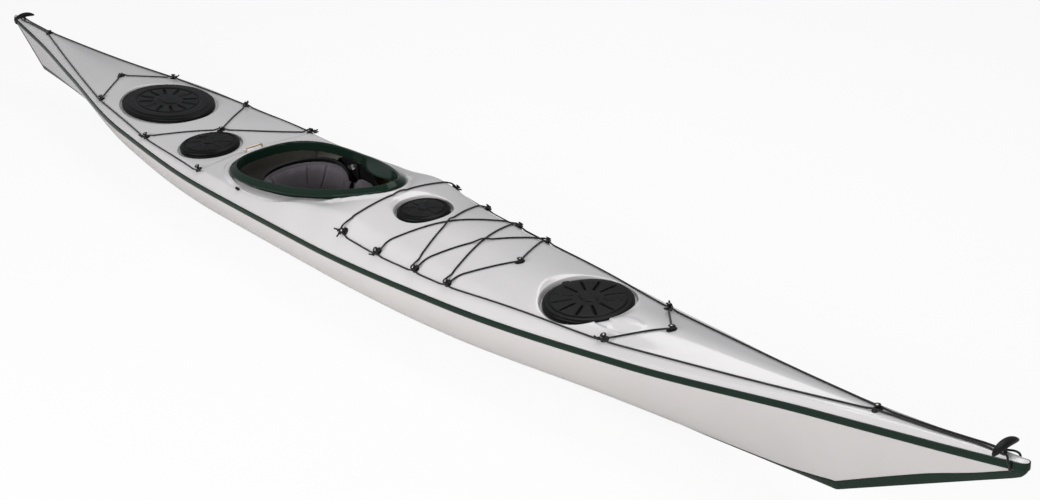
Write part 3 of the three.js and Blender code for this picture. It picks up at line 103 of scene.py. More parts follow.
ridge_height = smooth_curve([
    (-1, 0.800), (-0.859, 0.774), (-0.607, 0.665), (-0.3, 0.605), (-0.183, 0.571), (-0.073, 0.614),
    (0.055, 0.740), (0.132, 0.852), (0.227, 0.805), (0.362, 0.744), (0.475, 0.752),
    (0.598, 0.787), (0.852, 0.916), (1, 1.034)], SEAM_TOP)
knuckle_place = smooth_curve([
    (-1, 0.5), (-0.607, 0.6), (-0.369, 0.85), (-0.183, 0.87), (-0.073, 0.855), (0, 0.8),
    (0.055, 0.72), (0.121, 0.69), (0.219, 0.64), (0.311, 0.62), (0.45, 0.72), (0.57, 0.74),
    (0.73, 0.55), (1, 0.5)], 1)
knuckle_rise = smooth_curve([
    (-1, 0.7), (-0.607, 0.65), (-0.369, 0.5), (-0.183, 1), (-0.073, 0.98), (0, 0.97),
    (0.055, 0.95), (0.121, 0.85), (0.219, 0.73), (0.311, 0.77), (0.45, 0.6), (0.57, 0.35),
    (0.73, 0.6), (1, 0.6)], 1)
gunwale_rise = smooth_curve([
    (-1, 0.5), (-0.695, 0.5), (-0.366, 0.46), (0, 0.35), (0.33, 0.34), (0.549, 0.5),
    (0.66, 0.74), (0.845, 1), (0.95, 0.8), (1, 0.3)], GUNWALE)


def keel_height(x):
    """Height of the hull's lowest line: the keel table, then a straight stem up to each blunt tip."""
    x = np.asarray(x, float)
    keel = SOLE + keel_between(x)
    for corner, tip, blunt in ((HEEL, -1, 0.022), (FOREFOOT_AT, 1, 0.026)):
        cx, tx = corner * HALF_LENGTH, tip * HALF_LENGTH
        cz, tz = SOLE + keel_between(cx), seam_height(tx) - blunt
        past = x < cx if tip < 0 else x > cx
        keel = np.where(past, cz + (tz - cz) * (x - cx) / (tx - cx), keel)
    return keel


def tip_rise(x):
    """Lift of the keel that rounds the stem's and the stern's lower corner."""
    t = np.clip((np.abs(x) - (HALF_LENGTH - TIP_CORNER)) / TIP_CORNER, 0, 1)
    return TIP_CORNER * (1 - np.sqrt(1 - t * t))


def hull_section(x, turn, inset=0.0):
    """Point (y, z) of the hull: a superellipse from the keel's flat to the seam."""
    power = 2 / fullness(x)
    breadth = np.maximum(half_breadth(x) - inset, inset / 4)
    floor = keel_height(x) + inset * (1.6 if inset > 0 else 1.0)
    top = seam_height(x)
    flat = breadth * 0.05
    s, c = np.sin(turn) ** power, np.clip(np.cos(turn), 0, 1) ** power
    return flat + (breadth - flat) * s, top - (top - floor) * c


def tip_scale(x):
    """Share of the breadth left where the ends round off in plan."""
    past = np.maximum(np.abs(x) - (HALF_LENGTH - TIP_RADIUS), 0) / TIP_RADIUS
    return np.sqrt(np.maximum(1 - past * past, 0))


def gunwale_inset(x):
    """How far the deck's edge stands in from the seam."""
    return np.minimum(gunwale_rise(x) * GUNWALE_LEAN, half_breadth(x) / 3)


def plain_deck(x, y):
    """Height of the deck: edge, knuckle and ridge joined by two cubics."""
    breadth = half_breadth(x) - gunwale_inset(x)
    edge = seam_height(x) + gunwale_rise(x)
    ridge = np.maximum(ridge_height(x), edge)
    at = knuckle_place(x)
    knuckle = edge + (ridge - edge) * knuckle_rise(x)
    v = np.minimum(np.abs(y) / breadth, 1)
    inner, outer = (knuckle - ridge) / at, (edge - knuckle) / (1 - at)
    total = np.where(np.abs(inner + outer) < 1e-12, 1.0, inner + outer)
    middle = np.where(inner * outer <= 0, 0.0, 2 * inner * outer / total)
    over = np.clip((np.abs(y) - breadth) / gunwale_inset(x), 0, 1)
    low = hermite(v, 0 * v, at, ridge, knuckle, 0, middle)
    high = hermite(v, at, 1 + 0 * v, knuckle, edge, middle, outer * 1.15)
    return np.where(v < at, low, high) - over * gunwale_rise(x)


# Hatches: place, radii, top and height of each lid
HATCHES = {
    "fore": dict(centre=(1.296, 0.0), long=0.133, wide=0.133, top=0.283, height=0.023, ribs=12, panel=0.86),
    "aft": dict(centre=(-1.245, 0.0), long=0.245, wide=0.165, top=0.257, height=0.022, ribs=12, panel=0.66),
    "day": dict(centre=(-0.732, -0.098), long=0.1115, wide=0.1115, top=0.245, height=0.024, ribs=8, panel=0.80),
    "pod": dict(centre=(0.505, 0.0), long=0.087, wide=0.087, top=0.321, height=0.025, ribs=8, panel=0.78),
}
WELL_MARGIN = 0.009
WELL_EDGE = 0.004


# Coaming outline: a keyhole, widest behind the middle ---------------------------------------------
COAMING_REAR, COAMING_FRONT, COAMING_HALF, COAMING_SKEW = -0.5385, 0.355, 0.200, 0.345
COAMING_MIDDLE = (COAMING_REAR + COAMING_FRONT) / 2
COAMING_REACH = (COAMING_FRONT - COAMING_REAR) / 2
COAMING_POWER = 2.4
FLANGE = 0.024          # width of the coaming's flange
BRACE_REACH = 0.034     # how far the thigh braces reach in from the riser


def coaming_outline(turn, inset=0.0):
    """Superellipse in plan, narrower to the bow, moved inwards along its own normal by inset."""
    def raw(t):
        c, s = np.cos(t), np.sin(t)
        power = 2 / COAMING_POWER
        cx = COAMING_MIDDLE + COAMING_REACH * np.sign(c) * np.abs(c) ** power
        cy = COAMING_HALF * np.sign(s) * np.abs(s) ** power * (1 - COAMING_SKEW * c)
        return np.stack([cx, cy], -1)
    here = raw(turn)
    along = raw(turn + 0.02) - raw(turn - 0.02)
    inward = unit(np.stack([-along[:, 1], along[:, 0]], -1))
    return here + inward * np.asarray(inset).reshape(-1, 1)


def coaming_top(x):
    """Height of the flange's outer edge."""
    return 0.2845 + 0.146 * x + 0.108 * x * x


def brace_share(x):
    """Share of the thigh brace's reach, from nothing at both ends."""
    t = np.clip((x + 0.1201) / 0.3701, 0, 1)
    return np.sin(math.pi * t)


def coaming_distance(x, y):
    """Distance outside the coaming, near enough."""
    u = (x - COAMING_MIDDLE) / COAMING_REACH
    c = np.sign(u) * np.minimum(np.abs(u), 1) ** (COAMING_POWER / 2)
    v = y / (COAMING_HALF * (1 - COAMING_SKEW * c))
    reach = (np.abs(u) ** COAMING_POWER + np.abs(v) ** COAMING_POWER) ** (1 / COAMING_POWER) + 1e-9
    return np.hypot(x - COAMING_MIDDLE, y) * (1 - 1 / reach)


def smooth_min(a, b, soft):
    """The lesser of two, with the corner between them rounded."""
    return 0.5 * (a + b - np.sqrt((a - b) ** 2 + soft * soft))


def bell(distance, width):
    """1 at no distance, falling off to nothing over the width."""
    return np.exp(-(distance / width) ** 2)


def unit(vectors):
    """Rows of vectors brought to length 1."""
    return vectors / np.linalg.norm(vectors, axis=-1, keepdims=True)


def raised(plan, z):
    """Points in plan with their heights."""
    return np.concatenate([plan, np.asarray(z)[..., None]], -1)


def lengths(path):
    """Length along a path at each of its points."""
    return np.concatenate([[0], np.cumsum(np.linalg.norm(np.diff(path, axis=0), axis=1))])


def smooth_step(t):
    """0 below 0, 1 above 1, and an even S between."""
    t = np.clip(t, 0, 1)
    return t * t * (3 - 2 * t)


def oval(hatch, turn, outset=0.0):
    """A lid's outline in plan, moved outwards by the outset."""
    return hatch["centre"] + np.stack([(hatch["long"] + outset) * np.cos(turn),
                                       (hatch["wide"] + outset) * np.sin(turn)], -1)


def hatch_distance(hatch, x, y):
    """Distance outside a lid's oval, near enough."""
    dx, dy = x - hatch["centre"][0], y - hatch["centre"][1]
    reach = np.hypot(dx / hatch["long"], dy / hatch["wide"]) + 1e-9
    return np.hypot(dx, dy) * (1 - 1 / reach)


# Lower edge of the side deck's hollow, to starboard
side_line = smooth_curve([(-0.155, -0.262), (-0.126, -0.259), (-0.0965, -0.255), (-0.0545, -0.247),
                          (-0.018, -0.234), (0.012, -0.213), (0.040, -0.190)], 1.0)


def deck_surface(x, y):
    """The deck with its moulded relief: dishes at the lids, the coaming's collar, creases and hollows."""
    x, y = np.broadcast_arrays(np.asarray(x, float), np.asarray(y, float))
    z = plain_deck(x, y)
    for hatch in HATCHES.values():
        away = hatch_distance(hatch, x, y)
        cone = hatch["top"] - 0.0015 + 0.42 * np.maximum(away, -0.01)
        z = np.where(away < 0.12, smooth_min(z, cone, 0.003), z)
    # a collar round the coaming's two ends
    away = coaming_distance(x, y)
    ends = 1 - smooth_step((0.30 - np.abs(x + 0.09)) / 0.09)
    ridge = smooth_step((0.027 - away) / 0.009) * (1 - 0.7 * smooth_step((0.008 - away) / 0.009))
    z = z + 0.0085 * ends * ridge
    # the side deck's hollow for the skeg slider, from a sharp lower edge in to the coaming
    low = side_line(x)
    ends = smooth_step((x + 0.425) / 0.09) * smooth_step((0.06 - x) / 0.10)
    z = z - 0.0060 * smooth_step((y - low) / 0.010) * smooth_step((0.075 + low - y) / 0.05) * ends
    # the scoop under the security bar
    bowl = ((x + 0.585) / 0.030) ** 2 + ((y + 0.002) / 0.047) ** 2
    z = z - 0.011 * smooth_step(1.2 - bowl) * smooth_step((-0.556 - x) / 0.006 + 0.5)
    # the drain that leads out of the fore hatch's dish, and the swelling beyond it
    t = np.clip((x - 1.425) / 0.12, 0, 1)
    off = y + 0.062 + 0.14 * (x - 1.425)
    z = z - 0.0060 * smooth_step((0.020 * (1 - t) + 0.004 - np.abs(off)) / 0.005) * smooth_step((1 - t) / 0.3) \
        * (x > 1.40) * smooth_step((x - 1.40) / 0.02)
    bump = ((x - 1.515) / 0.045) ** 2 + ((y + 0.035) / 0.020) ** 2
    z = z + 0.0035 * smooth_step(1.3 - bump)
    # the crease across the deck behind the cockpit
    line = -0.600 + 0.16 * np.abs(y)
    z = z + 0.0024 * smooth_step((x - line) / 0.008) * smooth_step((0.262 - np.abs(y)) / 0.02) \
        * (1 - smooth_step((x + 0.54) / 0.20)) * smooth_step((np.abs(y) - 0.045) / 0.02)
    return z


def deck_normal(x, y):
    """Unit normals of the moulded deck, from differences over 4 mm."""
    h = 0.004
    dx = (deck_surface(x + h, y) - deck_surface(x - h, y)) / (2 * h)
    dy = (deck_surface(x, y + h) - deck_surface(x, y - h)) / (2 * h)
    return unit(np.stack([-dx, -dy, np.ones_like(dx)], -1))


def above_deck(x, y, height):
    """Points at a height above the moulded deck, along its own upright."""
    x, y = np.broadcast_arrays(np.asarray(x, float), np.asarray(y, float))
    base = np.stack([x, y, deck_surface(x, y)], -1)
    return base + deck_normal(x, y) * np.asarray(height)[..., None]


# Mesh making -----------------------------------------------------------------------------------
def grid_faces(rows, columns, loop_rows=False, loop_columns=False, start=0):
    """Quads of a grid of rows by columns of points, numbered row by row."""
    i = np.arange(rows if loop_rows else rows - 1)[:, None]
    j = np.arange(columns if loop_columns else columns - 1)[None, :]
    ni, nj = (i + 1) % rows, (j + 1) % columns
    quads = np.stack([i * columns + j, ni * columns + j, ni * columns + nj, i * columns + nj], -1)
    return quads.reshape(-1, 4) + start


class Shape:
    """Points and faces that grow by grids, with a finish number and a texture place per face corner."""

    def __init__(self):
        self.points, self.faces, self.finish, self.places, self.count = [], [], [], [], 0

    def grid(self, points, finish=0, loop_rows=False, loop_columns=False, flip=False, places=None):
        """Faces between rows of points."""
        rows, columns = points.shape[:2]
        faces = grid_faces(rows, columns, loop_rows, loop_columns, self.count)
        self.add(points.reshape(-1, 3), faces[:, ::-1] if flip else faces, finish, places)
        return self

    def add(self, points, faces, finish=0, places=None):
        """Points and the faces between them, which are already numbered for the whole shape."""
        self.points.append(np.asarray(points, float))
        self.faces += [np.asarray(faces)]
        self.finish.append(np.full(len(faces), finish))
        flat = np.zeros((len(points), 2)) if places is None else np.asarray(places).reshape(-1, 2)
        self.places.append(flat)
        self.count += len(points)
        return self

    def fan(self, ring, centre=None, finish=0, flip=False):
        """Closes a ring of points with triangles to one centre, or else to their mean."""
        centre = ring.mean(0) if centre is None else centre
        n = len(ring)
        i = np.arange(n)
        tri = np.stack([i, (i + 1) % n, np.full(n, n)], -1) + self.count
        return self.add(np.vstack([ring, centre]), tri[:, ::-1] if flip else tri, finish)

    def caps(self, rings):
        """Closes the first and the last of some rings."""
        self.fan(rings[0])
        self.fan(rings[-1])

    def build(self, name, materials, body="boat", replaces=(), slot=None, sharp=35, merge=1e-6):
        """The finished piece, which rides on a body and stands for CAD nodes."""
        points = np.vstack(self.points)
        mesh = bpy.data.meshes.new(name)
        sizes = np.concatenate([np.full(len(f), f.shape[1]) for f in self.faces])
        loops = np.concatenate([f.ravel() for f in self.faces])
        mesh.vertices.add(len(points))
        mesh.vertices.foreach_set("co", points.ravel())
        mesh.loops.add(len(loops))
        mesh.loops.foreach_set("vertex_index", loops.astype(np.int32))
        mesh.polygons.add(len(sizes))
        mesh.polygons.foreach_set("loop_start", np.concatenate([[0], np.cumsum(sizes)[:-1]]).astype(np.int32))
        mesh.update(calc_edges=True)
        mesh.polygons.foreach_set("material_index", np.concatenate(self.finish).astype(np.int32))
        places = mesh.uv_layers.new(name="along").data
        places.foreach_set("uv", np.vstack(self.places)[loops].ravel())
        for material in materials:
            mesh.materials.append(material)
        if merge:
            merge_points(mesh, merge)
        mesh.shade_smooth()
        mesh.set_sharp_from_angle(angle=math.radians(sharp))
        piece = bpy.data.objects.new(name, mesh)
        bpy.context.scene.collection.objects.link(piece)
        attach(piece, body)
        if replaces:
            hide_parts(*replaces)
        return piece


def merge_points(mesh, distance):
    """Joins points closer than the distance and turns all faces outwards."""
    work = bmesh.new()
    work.from_mesh(mesh)
    bmesh.ops.remove_doubles(work, verts=work.verts, dist=distance)
    bmesh.ops.recalc_face_normals(work, faces=work.faces)
    work.to_mesh(mesh)
    work.free()


# Finishes --------------------------------------------------------------------------------------
class Value:
    """A socket in arithmetic: each operator adds its Math node."""

    def __init__(self, finish, socket):
        self.finish, self.socket = finish, socket

    def math(self, operation, *others):
        return self.finish.node("ShaderNodeMath", dict(enumerate((self, *others))), operation=operation)

    def __add__(self, other):
        return self.math("ADD", other)

    def __sub__(self, other):
        return self.math("SUBTRACT", other)

    def __mul__(self, other):
        return self.math("MULTIPLY", other)

    def sine(self):
        return self.math("SINE")

    def most(self, other):
        return self.math("MAXIMUM", other)

    def ramp(self, low, high):
        """0 below low, 1 above high, straight between."""
        return self.finish.node("ShaderNodeMapRange", {
            "Value": self, "From Min": low, "From Max": high}, clamp=True)


class Finish:
    """One material: its shader with plain settings, and nodes that vary some of them."""

    def __init__(self, name, **settings):
        self.material = bpy.data.materials.new(name)
        self.material.use_nodes = True
        self.nodes, self.links = self.material.node_tree.nodes, self.material.node_tree.links
        self.shader = self.nodes["Principled BSDF"]
        self.set(**settings)
        self.where = self.node("ShaderNodeTexCoord", output="Object")

    def feed(self, socket, value):
        """Links a value to a socket, or sets the socket; a colour gets its fourth number here."""
        if isinstance(value, Value):
            self.links.new(value.socket, socket)
        elif socket.type == "RGBA":
            socket.default_value = (*value[:3], 1.0)
        else:
            socket.default_value = value

    def set(self, **settings):
        """Feeds the shader's own inputs, named with underscores."""
        for key, value in settings.items():
            self.feed(self.shader.inputs[key.replace("_", " ")], value)
        return self

    def node(self, kind, inputs=None, output=0, **settings):
        """A new node with its settings and inputs, as the value of one output."""
        node = self.nodes.new(kind)
        for key, value in settings.items():
            setattr(node, key, value)
        for key, value in (inputs or {}).items():
            self.feed(node.inputs[key], value)
        return Value(self, node.outputs[output])

    def noise(self, scale, detail=2.0, where=None, rough=0.5):
        return self.node("ShaderNodeTexNoise", {
            "Vector": where or self.where, "Scale": scale, "Detail": detail, "Roughness": rough})

    def split(self, vector=None):
        parts = self.node("ShaderNodeSeparateXYZ", {0: vector or self.where}).socket.node
        return [Value(self, out) for out in parts.outputs]

    def along(self):
        """Length along a tube or a band, and the share of its turn or its width."""
        return self.split(self.node("ShaderNodeUVMap", uv_map="along"))[:2]

    def mix(self, share, first, second):
        """Colour between two colours."""
        return self.node("ShaderNodeMix", {0: share, 6: first, 7: second}, output=2, data_type="RGBA")

    def bump(self, height, distance, strength=1.0):
        self.set(Normal=self.node("ShaderNodeBump", {
            "Height": height, "Distance": distance, "Strength": strength}))
        return self

    def stretch(self, scale):
        return self.node("ShaderNodeMapping", {"Vector": self.where, "Scale": scale})


def tint(colour, factor, plus=0.0):
    """A paler or deeper version of a colour."""
    return tuple(min(c * factor + plus, 1.0) for c in colour)


def gelcoat(name, colour, fleck, gloss, coat=0.6, level=0.5):
    """Polished gelcoat: faint mottling and flecks, smudged gloss, a trace of orange peel."""
    f = Finish(name, Coat_Weight=coat, Coat_Roughness=0.05, Coat_IOR=1.5, Specular_IOR_Level=level)
    cloud = f.noise(2.3, 3.0)
    flakes = f.noise(900.0, 1.0)
    base = f.mix(cloud.ramp(0.3, 0.7), tint(colour, 0.965), tint(colour, 1.05))
    base = f.mix(flakes.ramp(0.62, 0.75) * fleck, base, tint(colour, 1.5, 0.02))
    smudge = f.noise(9.0, 5.0, rough=0.65)
    f.set(Base_Color=base, Roughness=smudge.ramp(0.35, 0.75) * 0.10 + gloss)
    return f.bump(f.noise(160.0, 2.0) + f.noise(24.0, 2.0) * 1.5, 0.00005, 0.6).material


def woven_laminate(name, resin, fibre, pitch, grey_coat_and_shade):
    """Bare laminate: a twill of tows under resin, in plan coordinates; aft of the seat a grey flow coat, darkened
    as painted shade.
    """
    f = Finish(name, Coat_Weight=0.6, Coat_Roughness=0.12, Specular_IOR_Level=0.5)
    x, y, z = f.split()
    drift = f.noise(3.0, 2.0) * 0.004
    warp = ((x + drift) * (math.tau / pitch)).sine()
    weft = ((y + z + drift) * (math.tau / pitch)).sine()
    twill = ((x + y + z) * (math.tau / pitch / 2)).sine()
    weave = (warp * weft + twill * 0.5).ramp(-1.2, 1.2)
    blotch = f.noise(7.0, 4.0)
    colour = f.mix(weave, resin, fibre)
    colour = f.mix(blotch.ramp(0.35, 0.8) * 0.45, colour, tint(resin, 0.6))
    # the grey aft of x = -0.27 is a flow coat darkened as painted shade, where the coaming shades the inside
    coat = f.mix(weave * 0.5, grey_coat_and_shade, tint(grey_coat_and_shade, 1.6))
    colour = f.mix((x + f.noise(22.0, 2.0) * 0.03).ramp(-0.285, -0.255), coat, colour)
    f.set(Base_Color=colour, Roughness=blotch.ramp(0.2, 0.8) * 0.2 + 0.28)
    return f.bump(weave + blotch * 0.6, 0.0004, 0.7).material


def moulded(name, colour, rough, grain=420.0, depth=0.00007, dust=0.2, level=0.3):
    """Moulded plastic or rubber: fine grain, patchy sheen and a trace of pale dust."""
    f = Finish(name, Specular_IOR_Level=level)
    patch = f.noise(14.0, 4.0, rough=0.6)
    specks = f.noise(260.0, 2.0)
    base = f.mix(patch.ramp(0.4, 0.75) * 0.6, colour, tint(colour, 1.5, 0.002))
    base = f.mix(specks.ramp(0.66, 0.8) * dust, base, tint(colour, 1, 0.03))
    f.set(Base_Color=base, Roughness=patch.ramp(0.3, 0.7) * 0.14 + rough)
    return f.bump(f.noise(grain, 3.0), depth, 0.8).material


def braided(name, colour):
    """Braided cord: two sets of helical yarns crossing, from the tube's own length and turn."""
    f = Finish(name, Specular_IOR_Level=0.35, Sheen_Weight=0.15, Roughness=0.75)
    u, v = f.along()
    strands, pitch = 8.0, 0.009
    one = (u * (math.tau / pitch) + v * (math.tau * strands / 2)).sine()
    two = (u * (math.tau / pitch) - v * (math.tau * strands / 2)).sine()
    yarn = one.most(two) * 0.7 + (one * two) * 0.3
    wear = f.noise(45.0, 3.0)
    # the low lines between the yarns go down to a third of the colour: painted shade between the strands
    shade = f.mix(yarn.ramp(-0.2, 1.0), tint(colour, 0.35), colour)
    shade = f.mix(wear.ramp(0.5, 0.8) * 0.35, shade, tint(colour, 2.2, 0.01))
    f.set(Base_Color=shade)
    return f.bump(yarn, 0.0006, 0.8).material


def seat_fabric(name, colour):
    """Knitted face fabric over foam: tight ribs, soft mottling and lint."""
    f = Finish(name, Specular_IOR_Level=0.3, Sheen_Weight=0.35, Sheen_Roughness=0.5)
    x, y, z = f.split()
    knit = ((y + z * 0.6) * (math.tau / 0.0022)).sine() * ((x + z) * (math.tau / 0.0026)).sine()
    cloud = f.noise(16.0, 4.0, rough=0.6)
    # the knit is darker in its hollows and paler on its ribs: painted shade and painted highlight
    base = f.mix(knit.ramp(-1.0, 1.0), tint(colour, 0.75), tint(colour, 1.2))
    base = f.mix(cloud.ramp(0.4, 0.75) * 0.5, base, tint(colour, 1.7))
    f.set(Base_Color=base, Roughness=cloud.ramp(0.2, 0.8) * 0.15 + 0.72)
    return f.bump(knit * 0.5 + f.noise(70.0, 3.0) * 1.4, 0.0005, 0.7).material


def webbing(name, colour):
    """Nylon webbing: cross ribs and a herringbone, from the piece's own length and width."""
    f = Finish(name, Specular_IOR_Level=0.35, Roughness=0.62, Sheen_Weight=0.2)
    u, v = f.along()
    ribs = (u * (math.tau / 0.0018)).sine()
    cross = (v * (math.tau * 9)).sine()
    weave = (ribs * cross).ramp(-1.0, 1.0)
    # the weave is darker in its hollows and paler on its ribs: painted shade and painted highlight
    f.set(Base_Color=f.mix(weave, tint(colour, 0.5), tint(colour, 1.5, 0.003)))
    return f.bump(weave, 0.0004, 0.8).material


def metal(name, colour, rough):
    """Worked metal: brushing along one way, and cloudy tarnish."""
    f = Finish(name, Metallic=1.0)
    lines = f.noise(1.0, 3.0, where=f.stretch((30.0, 900.0, 900.0)))
    cloud = f.noise(30.0, 4.0)
    f.set(Base_Color=f.mix(cloud.ramp(0.35, 0.75) * 0.25, colour, tint(colour, 0.6)),
          Roughness=lines.ramp(0.2, 0.8) * 0.16 + rough)
    return f.bump(lines, 0.00004, 0.6).material


DECK_WHITE = gelcoat("deck_gelcoat", (0.655, 0.637, 0.640), 0.04, 0.16)
HULL_WHITE = gelcoat("hull_gelcoat", (0.565, 0.536, 0.525), 0.03, 0.18)
GREEN = gelcoat("green_gelcoat", (0.0078, 0.0205, 0.0135), 0.05, 0.08, 0.05, 0.12)
# the laminate's last colour is the grey aft of the seat, kept dark as painted shade
LAMINATE = woven_laminate("laminate", (0.46, 0.33, 0.18), (0.78, 0.61, 0.37), 0.0046, (0.20, 0.187, 0.165))
BLACK_PLASTIC = moulded("black_plastic", (0.0045, 0.0045, 0.0050), 0.32, dust=0.06, level=0.14)
FITTING_BLACK = moulded("fitting_black", (0.0055, 0.0055, 0.0062), 0.28, 700.0, 0.00004, 0.1, 0.25)
LID_RUBBER = moulded("lid_rubber", (0.0042, 0.0042, 0.0046), 0.30, 300.0, 0.00006, 0.08, 0.12)
TOGGLE_RUBBER = moulded("toggle_rubber", (0.0055, 0.0055, 0.0060), 0.36, dust=0.1, level=0.2)
CORD_BLACK = braided("cord_black", (0.0060, 0.0060, 0.0070))
SEAT_FOAM = seat_fabric("seat_fabric", (0.092, 0.080, 0.094))
STRAP_BLACK = webbing("strap_black", (0.010, 0.010, 0.012))
STEEL = metal("stainless_steel", (0.62, 0.60, 0.57), 0.18)
BRONZE = metal("bar_steel", (0.62, 0.52, 0.38), 0.24)
ALUMINIUM = metal("anodised_aluminium", (0.50, 0.51, 0.53), 0.30)


# Stations along the boat, closer at details ------------------------------------------------------
def stations(plain, fine, ranges):
    """Places along the boat: plain spacing, and fine spacing inside the given ranges."""
    marks = [-HALF_LENGTH + TIP_RADIUS, *[m for r in ranges for m in r], HALF_LENGTH - TIP_RADIUS]
    out = []
    for k, (a, b) in enumerate(zip(marks[:-1], marks[1:])):
        pitch = fine if k % 2 else plain
        out.append(np.linspace(a, b, max(2, int(round((b - a) / pitch)) + 1))[:-1])
    turn = np.linspace(0, 0.97, 8) * math.pi / 2
    tip = HALF_LENGTH - TIP_RADIUS + TIP_RADIUS * np.sin(turn)
    return np.concatenate([-tip[:0:-1], *out, tip])


# Hull: outer skin in gelcoat, inner skin in bare laminate ----------------------------------------
SLOT_FROM, SLOT_TO, SLOT_HALF = -2.0126, -1.6674, 0.0046    # the skeg's slot in the keel moulding
SLOT_GROW = 0.0027                                           # how much larger it is in the hull under it
SLOT_PAIR = 0.0004                                           # gap between the two stations at each end
STEM_BENDS = [(-2.60, -2.40), (2.10, 2.30)]                  # where the keel bends into the two stems


def slot_stations(x, grow=0.0):
    """Stations with the skeg slot's two ends among them, each as a close pair."""
    low, high = SLOT_FROM - grow, SLOT_TO + grow
    pairs = np.array([low, low + SLOT_PAIR, high - SLOT_PAIR, high])
    far = np.min(np.abs(x[:, None] - pairs), 1) > 0.004
    return np.sort(np.concatenate([x[far], pairs]))


def slot_width(x, grow=0.0):
    """Half width of the skeg slot along the keel, nothing outside it."""
    edge = SLOT_PAIR / 2
    return (SLOT_HALF + grow) * ((x > SLOT_FROM - grow + edge) & (x < SLOT_TO + grow - edge))


def with_keel_line(rows, slot):
    """Rows of a section with one more point each on the keel, or on the slot's edge where the slot is."""
    rows[..., 1] = np.maximum(rows[..., 1], slot[:, None])
    return np.concatenate([np.stack([rows[:, 0, 0], slot, rows[:, 0, 2]], -1)[:, None], rows], 1)


def build_hull():
    """Closed shell: rings of the outer section, over the seam's edge, and back as the inner section."""
    x = slot_stations(stations(0.022, 0.010, STEM_BENDS), SLOT_GROW)
    turns = np.linspace(0, 1, 25) ** 0.85 * math.pi / 2
    y, z = hull_section(x[:, None], turns[None, :])
    scale = tip_scale(x)[:, None]
    inside = np.clip((HALF_LENGTH - 0.15 - np.abs(x)) / 0.05, 0, 1)[:, None]
    yi, zi = hull_section(x[:, None], turns[None, :], SHELL)
    yi = np.minimum(yi, y) * inside + y * 0.5 * (1 - inside)
    zi = zi * inside + seam_height(x)[:, None] * (1 - inside)
    zi = np.minimum(zi, seam_height(x)[:, None])
    lowest = (keel_height(x) + tip_rise(x))[:, None]
    z = np.maximum(z, lowest)
    zi = np.maximum(zi, lowest + 0.0005)
    xs = np.broadcast_to(x[:, None], y.shape)
    out = np.stack([xs, y * scale, z], -1)
    inn = np.stack([xs, yi * scale, zi], -1)
    out, inn = (with_keel_line(rows, slot_width(x, SLOT_GROW)) for rows in (out, inn))
    skin = np.concatenate([(out * MIRROR)[:, ::-1], out], 1)
    lining = np.concatenate([inn[:, ::-1], inn * MIRROR], 1)
    shape = Shape()
    tip = int(np.searchsorted(x, HALF_LENGTH - TIP_RADIUS * 1.25))
    half = out.shape[1]
    for side in (slice(0, half), slice(half, None)):
        shape.grid(skin[:tip + 1, side], 0)
        shape.grid(skin[tip:, side], 2)
        shape.grid(lining[:, side], 1)
    cut = slice(np.searchsorted(x, SLOT_FROM - 0.003), np.searchsorted(x, SLOT_TO + 0.003))
    shape.grid(np.stack([out[cut, 0], inn[cut, 0]], 1), 1, flip=True)
    shape.grid(np.stack([out[cut, 0] * MIRROR, inn[cut, 0] * MIRROR], 1), 1)
    for a, b in ((skin[:, -1], lining[:, 0]), (skin[:, 0], lining[:, -1])):
        shape.grid(np.stack([a, b], 1), 0)
    for end, finish in ((0, 0), (-1, 2)):
        shape.fan(skin[end], finish=finish)
        shape.fan(lining[end], finish=1)
    shape.build("hull_skin", [HULL_WHITE, LAMINATE, GREEN], replaces=["hull_shell"], slot="hull_gelcoat",
                merge=2e-5)


build_hull()


# Deck: a grid with oval blocks round each hole, and moulded wells ----------------------------------
LIP_INSET = 0.0125      # where the deck starts to turn up under the coaming's flange
LIP_TURN = 0.006        # radius of that turn in plan
LIP_TOP = 0.0192        # where it reaches the flange
LIP_DROP = 0.0032       # depth of the lip under the flange's edge
WELL_SEAT = 0.0077      # how far the wells' floors reach in under the lids
WELL_BEND = 0.003       # rounding of the wells' feet


# Each hole's block: its two ends along the boat and its two sides as shares of the deck's half breadth
BLOCKS = {
    "cockpit": (-0.570, 0.372, -0.945, 0.945),
    "aft": (-1.516, -0.974, -0.84, 0.84), "day": (-0.874, -0.5975, -0.95, 0.20),
    "pod": (0.392, 0.622, -0.46, 0.46), "fore": (1.132, 1.462, -0.86, 0.86),
}
QUARTER = math.pi / 2


def block_rim(i0, i1, j0, j1):
    """Grid places round a block, once round."""
    rows, cols = np.arange(i0, i1), np.arange(j0, j1)
    return np.concatenate([
        np.stack([rows, np.full(len(rows), j0)], 1), np.stack([np.full(len(cols), i1), cols], 1),
        np.stack([rows[::-1] + 1, np.full(len(rows), j1)], 1),
        np.stack([np.full(len(cols), i0), cols[::-1] + 1], 1)])


def cockpit_hole(rim):
    """The deck's edge at the cockpit, one point for each of the rim's, and its places on the outline."""
    turn = np.linspace(-math.pi, math.pi, 2001)
    curve = coaming_outline(turn)
    angle = np.unwrap(np.arctan2(curve[:, 1], curve[:, 0] - COAMING_MIDDLE))
    turn_at = np.interp(np.arctan2(rim[:, 1], rim[:, 0] - COAMING_MIDDLE), angle, turn)
    return coaming_outline(turn_at, LIP_INSET), turn_at


def hatch_hole(hatch, rim):
    """The edge of a hatch's well, one point for each of the rim's, and its places on the oval."""
    offset = rim[:, :2] - hatch["centre"]
    theta = np.arctan2(offset[:, 1], offset[:, 0])
    reach = WELL_MARGIN + WELL_EDGE
    turn_at = np.arctan2(np.sin(theta) / (hatch["wide"] + reach), np.cos(theta) / (hatch["long"] + reach))
    return oval(hatch, turn_at, reach), turn_at


